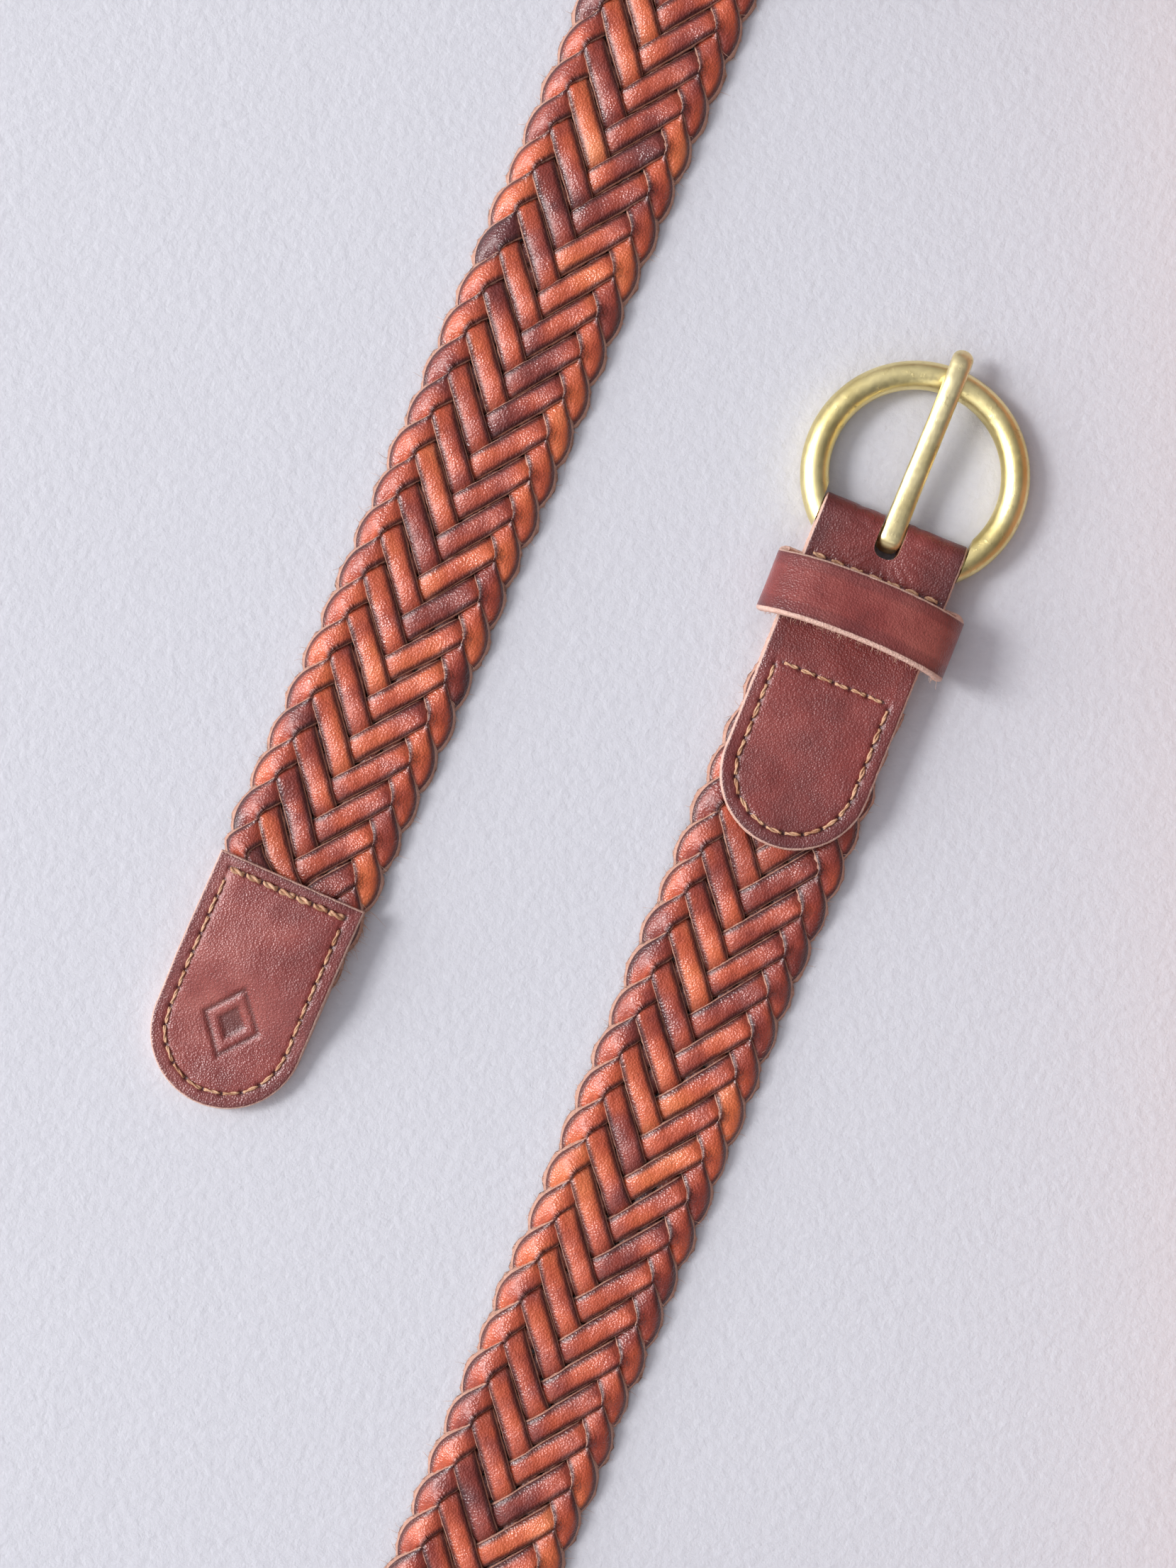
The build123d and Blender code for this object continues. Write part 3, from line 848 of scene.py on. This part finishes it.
def make_tip(leather, thread):
    """Both leaves of the tip and its two lines of stitches."""
    grid = leaf_grid(TIP_HALF, TIP_STRAIGHT, False, True)

    def front_place(length, width, out):
        height = tip_height(length) - tip_side_drop(length, width)
        return on_strap(MOUTH + length, width, height + out - STACK / 2)

    def back_place(length, width, out):
        return on_strap(MOUTH + length, width, LEAF / 2 - out - STACK / 2)

    def flat_dents(length, width, rim, side):
        return 0 * length

    def on_front(length, width, out):
        return front_place(length, width, LEAF / 2 + out - 0.12)

    front = leather_leaf("tip_front", grid, front_place, tip_dents, [leather])
    press_and_hole_shade(front, grid, TIP_HOLES, lozenge(grid[0], grid[1]))
    # painted sheen over the whole front leaf
    point_value(front, "tone", np.full(len(front.data.vertices), TIP_SHEEN))
    mirrored = (grid[0], -grid[1], grid[2])
    leather_leaf("tip_back", mirrored, back_place, flat_dents, [leather])
    make_stitches("tip_thread", TIP_U, on_front, thread, 0.76, "tip_stitching")
    make_stitches("tip_bold_thread", TIP_STITCHES, on_front, thread, 1.35, "tip_stitching")


# ---- keeper
KEEPER_THICK = 1.9
KEEPER_RIM_R = 0.5
KEEPER_BELLY = 0.12  # how far its cut edges bulge
KEEPER_WIDER = 0.4  # than its CAD band
KEEPER_BACK = 1.1  # the crown stands a little away from the bar
KEEPER_LEAN = 0.7  # the crown's middle leans towards the bar
KEEPER_TILT = math.radians(17)  # and its far edge stands a little higher
# painted sheen: the keeper's leather drawn paler than the chape's
KEEPER_SHEEN = 0.12
KEEPER_BELT = 6.5  # height at which the loop is widest


def keeper_path(count):
    """The loop's outer line across the strap, its outward normals, from below, all round."""
    half = (KEEPER_HIGH[0] - KEEPER_LOW[0]) / 2
    turn = circle(count * 20) - math.pi / 2
    c, w = np.cos(turn), np.sin(turn)
    power = np.where(w > 0, 2 / 2.9, 2 / 4.5)  # the lower corners are squarer
    tall = np.where(w > 0, KEEPER_HIGH[2] - KEEPER_BELT, KEEPER_BELT - KEEPER_LOW[2])
    u, z = half * squared(c, power), KEEPER_BELT + tall * squared(w, power)
    u, z = np.append(u, u[0]), np.append(z, z[0])
    run = run_along(u, z)
    at = np.linspace(0, run[-1], count, endpoint=False)
    u, z = np.interp(at, run, u), np.interp(at, run, z)
    du, dz = np.roll(u, -1) - np.roll(u, 1), np.roll(z, -1) - np.roll(z, 1)
    size = np.hypot(du, dz)
    return u, z, dz / size, -du / size


def make_keeper(leather, fibre):
    """The loop's strip, with rounded rims, and fibres on its far cut edge."""
    count = 220
    u, z, nu, nz = keeper_path(count)
    band = KEEPER_HIGH[1] - KEEPER_LOW[1] + KEEPER_WIDER
    start = BAR_Y - KEEPER_HIGH[1]
    steps = np.array([0.0, 0.12, 0.3, 0.6, 1.0, 1.6, 2.4, 3.4, 4.6])
    across = np.concatenate([steps, [band / 2], (band - steps)[::-1]])
    rim = np.minimum(across, band - across)
    shown_rim = rim - 0.45 * (across > band / 2)
    sunk = rounding(rim, KEEPER_RIM_R)
    far_edge, near_edge = band + KEEPER_BELLY, -KEEPER_BELLY
    # round the strip's section: the face, the far cut edge, the flesh side and the near cut edge
    w = np.concatenate([across, [far_edge] * 2, across[::-1], [near_edge] * 2])
    out = np.concatenate([-0.7 * sunk, [-0.6, -1.3], 0.4 * sunk - KEEPER_THICK, [-1.3, -0.6]])
    rims = np.concatenate([shown_rim, [-1, -1], rim[::-1], [-1, -1]])
    side = np.repeat([0, 0.5, 1, 0.5], [len(across), 2, len(across), 2])
    top = smooth_step((z - 4.5) / 9.0)
    lean = top * KEEPER_LEAN * (1 - 1.6 * (u / np.max(u)) ** 2)
    lean = lean - KEEPER_BACK * smooth_step((z - 3.4) / 3)
    tilt = math.tan(KEEPER_TILT) * top[:, None] * (w - band / 2)
    wobble = 0.1 * waves(u[:, None], z[:, None] + w, 21, 14)
    radial = out + wobble
    points = on_strap(
        start + w + 0 * u[:, None] - lean[:, None],
        u[:, None] + nu[:, None] * radial,
        z[:, None] + nz[:, None] * radial + tilt - STACK / 2,
    )
    around = len(w)
    faces = tube_faces(count, around, closed_ends=False)
    last = (count - 1) * around
    faces += [(last + j, last + (j + 1) % around, (j + 1) % around, j) for j in range(around)]
    points = points.reshape(-1, 3)
    keeper = make_object("keeper_leather", points, faces, [leather], "keeper")
    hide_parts("keeper")
    rng = np.random.default_rng(31)
    # fibres stand on the far cut edge, over the upper half of the loop
    far = rng.integers(int(count * 0.27), int(count * 0.73), KEEPER_FIBRES)
    root_out = radial[far, len(across)] - rng.uniform(0.0, 1.3, KEEPER_FIBRES)
    roots = np.stack([
        start + band + 0.08 - lean[far], u[far] + nu[far] * root_out,
        z[far] + nz[far] * root_out + tilt[far, len(across)] - STACK / 2,
    ], axis=-1)
    way = np.array([1.0, 0.0, 0.2])
    make_fuzz("keeper_fibres", roots, way, (0.4, 1.1), fibre, "keeper", "trim_leather", 32)
    point_value(keeper, "rim", np.tile(rims, count))
    # painted sheen over the whole keeper
    point_value(keeper, "tone", np.full(count * around, KEEPER_SHEEN))
    point_value(keeper, "flesh", np.tile(side, count))


# ---- prong
PRONG_HALF = 2.05
PRONG_BORE = 1.68
PRONG_ROOT = 3.35
RING_DROOP = math.radians(1.2)
PRONG_END = 38.1  # reach of its rounded end from the bar
PRONG_TOP = ((0, 3.35), (9, 3.3), (15, 4.1), (24, 5.3), (31.5, 5.8), (35.8, 5.0), (38.0, 3.4))
PRONG_UNDER = (
    (0, 1.68), (4, 1.2), (9, 0.9), (20, 2.3), (27, 3.0), (32.4, 3.1), (35.6, 2.7), (38.0, 2.2)
)


def make_prong(material):
    """A flat bar bent round the bar of the ring, with rounded edges and a rounded end."""
    around = 28
    wrap = np.radians(np.linspace(-52, -270, 34))
    mid = (PRONG_BORE + PRONG_ROOT) / 2
    centre = [(mid * math.cos(a), mid * math.sin(a)) for a in wrap]
    thick = [(PRONG_ROOT - PRONG_BORE) / 2] * len(wrap)
    broad = [PRONG_HALF * (0.88 if i == 0 else 1.05 if i == 1 else 1.10) for i in range(len(wrap))]
    broad = [b * (1 - 0.22 * near(a + math.pi, 0.55)) for a, b in zip(wrap, broad)]
    thick[0] *= 0.7
    rounded_end = PRONG_END - 2.9 * (1 - np.linspace(0.05, 1, 14)) ** 1.7
    reach = np.concatenate([np.linspace(0.7, 35.2, 60), rounded_end])
    top = np.interp(reach, *zip(*PRONG_TOP))
    under = np.interp(reach, *zip(*PRONG_UNDER))
    kernel = np.hanning(9) / np.hanning(9).sum()
    top = np.convolve(np.pad(top, 4, mode="edge"), kernel, "valid")
    under = np.convolve(np.pad(under, 4, mode="edge"), kernel, "valid")
    tip_share = np.clip((reach - 36.2) / 1.95, 0, 1)
    narrow = np.sqrt(np.maximum(1 - tip_share**2.2, 0.02))
    waist = 1.10 - 0.08 * smooth_step(reach / 30)
    centre += list(zip(reach, (top + under) / 2))
    thick += list((top - under) / 2 * np.sqrt(narrow))
    broad += list(PRONG_HALF * waist * narrow)
    centre, thick, broad = np.array(centre), np.array(thick), np.array(broad)
    ahead = np.gradient(centre, axis=0)
    ahead /= np.linalg.norm(ahead, axis=1, keepdims=True)
    up = np.stack([-ahead[:, 1], ahead[:, 0]], axis=-1)
    turn = circle(around)
    x = squared(np.cos(turn), 2 / 2.4) * broad[:, None]
    rise = squared(np.sin(turn), 2 / 2.1) * thick[:, None]
    y = centre[:, 0:1] + up[:, 0:1] * rise
    z = centre[:, 1:2] + up[:, 1:2] * rise
    lean = RING_DROOP
    points = np.stack([
        BAR_X + x, BAR_Y + y * math.cos(lean) + z * math.sin(lean),
        BAR_Z - y * math.sin(lean) + z * math.cos(lean),
    ], axis=-1)
    prong = make_object(
        "prong_brass", points.reshape(-1, 3), tube_faces(len(centre), around), [material],
        "prong"
    )
    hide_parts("prong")


# ---- materials
class Nodes:
    """Short ways to add shader nodes to one material."""

    def __init__(self, name):
        self.material = bpy.data.materials.new(name)
        self.material.use_nodes = True
        self.tree = self.material.node_tree
        self.shader = self.tree.nodes["Principled BSDF"]
        self.place = self.add("TexCoord").outputs["Object"]

    def add(self, kind, inputs=(), **settings):
        node = self.tree.nodes.new("ShaderNode" + kind)
        for key, value in settings.items():
            setattr(node, key, value)
        for key, value in dict(inputs).items():
            self.put(node.inputs[key], value)
        return node

    def put(self, socket, value):
        if isinstance(value, bpy.types.NodeSocket):
            self.tree.links.new(value, socket)
        else:
            socket.default_value = value

    def noise(self, scale, detail=2.0, place=None, rough=0.5):
        node = self.add("TexNoise", {
            "Vector": place or self.place, "Scale": scale, "Detail": detail, "Roughness": rough
        })
        return node.outputs["Fac"]

    def cells(self, scale):
        return self.add("TexVoronoi", {"Vector": self.place, "Scale": scale}).outputs["Distance"]

    def value(self, name):
        return self.add("Attribute", attribute_name=name).outputs["Fac"]

    def maths(self, operation, a, b=0.0):
        return self.add("Math", {0: a, 1: b}, operation=operation).outputs[0]

    def plus(self, a, b):
        return self.maths("ADD", a, b)

    def times(self, a, b):
        return self.maths("MULTIPLY", a, b)

    def span(self, value, low, high, to_low=0.0, to_high=1.0):
        """The value's run from low to high, eased, as a run from to_low to to_high."""
        inputs = {
            "Value": value, "From Min": low, "From Max": high, "To Min": to_low, "To Max": to_high
        }
        return self.add("MapRange", inputs, interpolation_type="SMOOTHSTEP").outputs["Result"]

    def mix(self, share, a, b):
        """A colour share of the way from a to b; in a colour mix they are inputs 6 and 7."""
        a, b = ((*c, 1) if isinstance(c, tuple) else c for c in (a, b))
        return self.add("Mix", {0: share, 6: a, 7: b}, data_type="RGBA").outputs[2]

    def ramp(self, value, stops):
        node = self.add("ValToRGB", {"Fac": value})
        ramp = node.color_ramp
        while len(ramp.elements) < len(stops):
            ramp.elements.new(0.5)
        for element, (at, colour) in zip(ramp.elements, stops):
            element.position = at
            element.color = (*colour, 1)
        return node.outputs["Color"]

    def bump(self, layers):
        """Bump from (height, distance in millimetres) layers, one over the other."""
        normal = None
        for height, distance in layers:
            inputs = {"Height": height, "Distance": distance * MM, "Strength": 1.0}
            if normal:
                inputs["Normal"] = normal
            normal = self.add("Bump", inputs).outputs["Normal"]
        return normal

    def finish(self, colour, roughness, normal, **fixed):
        self.put(self.shader.inputs["Base Color"], colour)
        self.put(self.shader.inputs["Roughness"], roughness)
        self.put(self.shader.inputs["Normal"], normal)
        for name, value in fixed.items():
            self.shader.inputs[name.replace("_", " ")].default_value = value
        return self.material


def strand_material():
    """Tan leather, waxed, its burnished edges darker and with painted shade in the gaps and where a
    strand lies low, raw where it is cut.
    """
    n = Nodes("strand_leather")
    mottle = n.noise(95, 3)
    tone = n.plus(n.times(n.value("tone"), 0.17), mottle)
    base = n.ramp(tone, [
        (0.12, (0.12, 0.022, 0.022)), (0.32, (0.32, 0.050, 0.031)), (0.50, (0.56, 0.098, 0.041)),
        (0.70, (0.72, 0.155, 0.054)), (0.92, (0.78, 0.23, 0.085)),
    ])
    # burnished edges, darker, together with painted shade in the gaps between strands and where a
    # strand lies low
    lane = n.maths("ABSOLUTE", n.value("lane"))
    wander = n.times(n.noise(260, 2), 0.30)
    edge_burnish_and_shade = n.span(n.plus(lane, wander), 0.56, 1.02)
    edge_burnish_and_shade = n.maths("MAXIMUM", edge_burnish_and_shade, n.times(n.value("low"), 0.8))
    colour = n.mix(edge_burnish_and_shade, base, n.mix(0.90, base, (0.048, 0.010, 0.011)))
    speckle = n.span(n.noise(1500, 1), 0.62, 0.72)
    colour = n.mix(n.times(speckle, 0.18), colour, (0.10, 0.02, 0.015))
    raw = n.mix(n.noise(900, 3), (0.40, 0.18, 0.12), (0.68, 0.40, 0.30))
    edge = n.span(n.plus(n.value("cut_edge"), n.times(n.noise(420, 2), 0.5)), 0.78, 1.0)
    colour = n.mix(edge, colour, raw)
    flesh = n.mix(n.noise(300, 4), (0.30, 0.12, 0.065), (0.50, 0.24, 0.14))
    colour = n.mix(n.value("flesh"), colour, flesh)
    pebbles = n.cells(2300)
    stretch = n.noise(800, 3)
    lanes = n.add("CombineXYZ", {
        0: n.times(n.value("along"), 1.15), 1: n.times(n.value("lane"), 0.5),
        2: n.times(n.value("tone"), 9.0),
    }).outputs[0]
    wrinkle = n.times(n.noise(1.0, 2, place=lanes), n.span(n.value("fold"), 0.1, 0.9))
    rough = n.span(n.noise(180, 3), 0.3, 0.7, 0.26, 0.44)
    rough = n.plus(rough, n.times(n.maths("MAXIMUM", edge, n.value("flesh")), 0.4))
    normal = n.bump([(wrinkle, 1.0), (stretch, 0.11), (pebbles, 0.13)])
    return n.finish(colour, rough, normal, Coat_Weight=0.18, Coat_Roughness=0.26)


def trim_material():
    """Dark red-brown satin leather of the chape, keeper and tip, with a paler cut edge."""
    n = Nodes("trim_leather")
    cloud = n.noise(48, 4)
    streak = n.noise(190, 4)
    tone = n.plus(n.times(cloud, 0.7), n.times(streak, 0.3))
    # the tone attribute carries painted shade near the chape's fold and painted sheen on the tip
    # and keeper
    tone = n.plus(tone, n.value("tone"))
    base = n.ramp(tone, [
        (0.22, (0.095, 0.014, 0.013)), (0.44, (0.185, 0.028, 0.024)), (0.58, (0.255, 0.043, 0.036)),
        (0.80, (0.39, 0.100, 0.080)),
    ])
    rim = n.value("rim")
    grain_side = n.span(n.value("flesh"), 0.2, 0.3, 1.0, 0.0)
    wander = n.times(n.noise(330, 3), 0.9)
    dark_rim = n.span(n.plus(rim, wander), 0.5, 1.9, 1.0, 0.0)
    margin = n.span(n.plus(rim, wander), 2.6, 3.6, 1.0, 0.0)
    base = n.mix(n.times(margin, 0.30), base, (0.075, 0.014, 0.018))
    base = n.mix(n.times(dark_rim, 0.45), base, (0.06, 0.012, 0.012))
    # darker where the stamp presses the leather, and painted shade in the needle holes
    base = n.mix(n.times(n.value("press"), 0.72), base, (0.035, 0.010, 0.010))
    pores = n.span(n.noise(2100, 1), 0.60, 0.70)
    base = n.mix(n.times(pores, 0.25), base, (0.06, 0.012, 0.010))
    raw = n.mix(n.noise(1100, 3), (0.50, 0.26, 0.19), (0.86, 0.60, 0.50))
    cut = n.span(n.plus(rim, n.times(n.noise(600, 2), 0.25)), 0.30, 0.50, 1.0, 0.0)
    flesh = n.mix(n.noise(260, 5), (0.34, 0.13, 0.075), (0.55, 0.27, 0.17))
    colour = n.mix(grain_side, flesh, base)
    colour = n.mix(cut, colour, raw)
    pebbles = n.cells(2500)
    soft = n.noise(950, 3)
    rough = n.span(n.noise(120, 3), 0.3, 0.7, 0.31, 0.45)
    dry = n.maths("MAXIMUM", cut, n.maths("SUBTRACT", 1.0, grain_side))
    rough = n.plus(rough, n.times(dry, 0.35))
    normal = n.bump([(n.noise(300, 2), 0.05), (soft, 0.07), (pebbles, 0.11)])
    return n.finish(colour, rough, normal, Coat_Weight=0.16, Coat_Roughness=0.34)


def cut_material():
    """Raw fibre inside the prong's opening, darkened by dye."""
    n = Nodes("cut_leather")
    fibre = n.noise(700, 5)
    colour = n.mix(fibre, (0.16, 0.045, 0.03), (0.46, 0.22, 0.14))
    return n.finish(colour, n.span(fibre, 0.2, 0.8, 0.7, 0.95), n.bump([(n.noise(1400, 4), 0.15)]))


def fibre_material():
    n = Nodes("raw_fibre")
    fibre = n.noise(900, 3)
    colour = n.mix(fibre, (0.42, 0.20, 0.13), (0.80, 0.55, 0.42))
    return n.finish(colour, 0.9, n.bump([(fibre, 0.05)]))


def brass_material(name, pale, deep, spread):
    """Antique satin brass: brushed, faintly pitted, browner in the pits."""
    n = Nodes(name)
    cloud = n.noise(70, 4)
    fine = n.noise(900, 4)
    colour = n.mix(n.span(cloud, 0.35, 0.65), deep, pale)
    pits = n.span(n.noise(520, 5, rough=0.7), 0.56, 0.70)
    colour = n.mix(n.times(pits, 0.40), colour, (0.34, 0.27, 0.11))
    rough = n.plus(n.span(fine, 0.3, 0.7, spread[0], spread[1]), n.times(pits, 0.12))
    scratches = n.add("Mapping", {"Vector": n.place, "Scale": (1.0, 0.12, 1.0)}).outputs["Vector"]
    brushed = n.noise(2600, 2, place=scratches)
    normal = n.bump([(brushed, 0.015), (pits, 0.02), (cloud, 0.12)])
    return n.finish(colour, rough, normal, Metallic=1.0)


def steel_material():
    n = Nodes("staple_steel")
    fine = n.noise(1200, 3)
    colour = n.mix(fine, (0.34, 0.33, 0.31), (0.62, 0.61, 0.58))
    rough = n.span(fine, 0.3, 0.7, 0.28, 0.48)
    return n.finish(colour, rough, n.bump([(fine, 0.02)]), Metallic=1.0)


def thread_material():
    """Waxed golden tan thread, its fibres running round each ply."""
    n = Nodes("thread")
    fibre = n.noise(2300, 3)
    stain = n.noise(260, 2)
    colour = n.mix(fibre, (0.45, 0.22, 0.12), (0.80, 0.50, 0.30))
    stained = n.mix(fibre, (0.30, 0.12, 0.06), (0.56, 0.28, 0.14))
    colour = n.mix(n.span(stain, 0.46, 0.66), colour, stained)
    return n.finish(colour, n.span(fibre, 0.2, 0.8, 0.5, 0.75), n.bump([(fibre, 0.10)]))


def paper_material():
    """Pale cool paper with fine fibre."""
    n = Nodes("paper")
    slow = n.noise(5, 2)
    fibre = n.noise(480, 5, rough=0.62)
    colour = n.mix(slow, (0.625, 0.625, 0.672), (0.66, 0.66, 0.70))
    colour = n.mix(n.span(fibre, 0.35, 0.65), colour, n.mix(0.10, colour, (0.45, 0.44, 0.5)))
    normal = n.bump([(fibre, 0.30), (n.noise(60, 3), 0.2)])
    return n.finish(colour, 0.92, normal, Specular_IOR_Level=0.2)


trim = trim_material()
cut_fibre = cut_material()
thread = thread_material()
fibre = fibre_material()
make_braid_fibres(make_strands(strand_material()), fibre)
make_chape(trim, cut_fibre, thread)
make_tip(trim, thread)
make_keeper(trim, fibre)
make_prong(brass_material("prong_brass", (0.90, 0.79, 0.45), (0.72, 0.60, 0.29), (0.30, 0.42)))


def refinish(node, material):
    """Gives a CAD node that stays as it is this material alone."""
    slots = frame["nodes"][node].data.materials
    slots.clear()
    slots.append(material)


ring_brass = brass_material("ring_brass", (0.86, 0.74, 0.37), (0.64, 0.52, 0.21), (0.30, 0.40))
refinish("buckle_frame", ring_brass)
refinish("keeper_staple", steel_material())

# ---- floor, camera and lights
VIEW_TURN = math.radians(21.93)
VIEW_X, VIEW_Y = BAR_X - 36.37, BAR_Y - 66.2  # the picture's middle, on the floor
VIEW_HIGH = 304.8
CAMERA_UP = 560.0


def in_view(right, up, height):
    """A place given from the middle of the picture, to the part's frame, in metres."""
    x = VIEW_X + right * math.cos(VIEW_TURN) - up * math.sin(VIEW_TURN)
    y = VIEW_Y + right * math.sin(VIEW_TURN) + up * math.cos(VIEW_TURN)
    return (x * MM, y * MM, height * MM)


def make_camera():
    """Straight above, turned so that the picture's upright runs along the photograph's."""
    data = bpy.data.cameras.new("camera")
    data.sensor_fit = "VERTICAL"
    data.sensor_height = 36.0
    data.lens = 36.0 * CAMERA_UP / VIEW_HIGH
    data.clip_start = 0.01
    data.clip_end = 20.0
    camera = add_object("camera", data)
    camera.location = in_view(0, 0, CAMERA_UP)
    camera.rotation_euler = (0, 0, VIEW_TURN)
    bpy.context.scene.camera = camera


# name, then right, up and height from the picture's middle (mm), side (m), watts, and
# whether only glossy surfaces see it
LIGHTS = (
    ("key", -1950, 455, 1950, 0.78, 42, False),
    ("left_box", -1950, 130, 845, 1.56, 20, False),
    ("shine", -1950, 390, 1885, 1.7, 68, True),
    ("low_fill", -500, -1500, 1200, 1.2, 6, False),
)


def make_light(name, right, up, height, side, power, only_shine):
    """A square lamp that faces the middle of the picture."""
    data = bpy.data.lights.new(name, "AREA")
    data.shape = "RECTANGLE"
    data.size = data.size_y = side
    data.energy = power
    light = add_object(name, data)
    light.location = in_view(right, up, height)
    direction = Vector(in_view(0, 0, 0)) - light.location
    light.rotation_euler = direction.to_track_quat("-Z", "Y").to_euler()
    light.visible_diffuse = not only_shine


FLOOR_HALF = 3.0  # metres
FLOOR_Z = -0.00002  # just under the belt


def make_floor():
    corners = ((-1, -1), (1, -1), (1, 1), (-1, 1))
    verts = [(x * FLOOR_HALF, y * FLOOR_HALF, FLOOR_Z) for x, y in corners]
    mesh = bpy.data.meshes.new("floor")
    mesh.from_pydata(verts, [], [(0, 1, 2, 3)])
    mesh.materials.append(paper_material())
    add_object("floor", mesh)


SKY_BRIGHT = (-0.72, 0.05, 0.69)  # the direction of its brightest part
SKY_STRENGTH = (0.20, 0.86)
SKY_COLOUR = (0.94, 0.93, 1.0, 1)


def make_sky(tree):
    """A pale room: bright overhead and to the left, dimmer to the right and near the floor."""
    background = tree.nodes["Background"]
    place = tree.nodes.new("ShaderNodeTexCoord")
    facing = tree.nodes.new("ShaderNodeVectorMath")
    facing.operation = "DOT_PRODUCT"
    tree.links.new(place.outputs["Generated"], facing.inputs[0])
    facing.inputs[1].default_value = SKY_BRIGHT
    spread = tree.nodes.new("ShaderNodeMapRange")
    spread.interpolation_type = "SMOOTHSTEP"
    tree.links.new(facing.outputs["Value"], spread.inputs["Value"])
    for end, facing_at, strength in zip(("Min", "Max"), (0.1, 1.0), SKY_STRENGTH):
        spread.inputs["From " + end].default_value = facing_at
        spread.inputs["To " + end].default_value = strength
    tree.links.new(spread.outputs["Result"], background.inputs["Strength"])
    background.inputs["Color"].default_value = SKY_COLOUR


make_camera()
make_floor()
for light_values in LIGHTS:
    make_light(*light_values)
world = bpy.data.worlds.new("studio")
bpy.context.scene.world = world
world.use_nodes = True
make_sky(world.node_tree)
bpy.context.scene.view_settings.view_transform = "Standard"
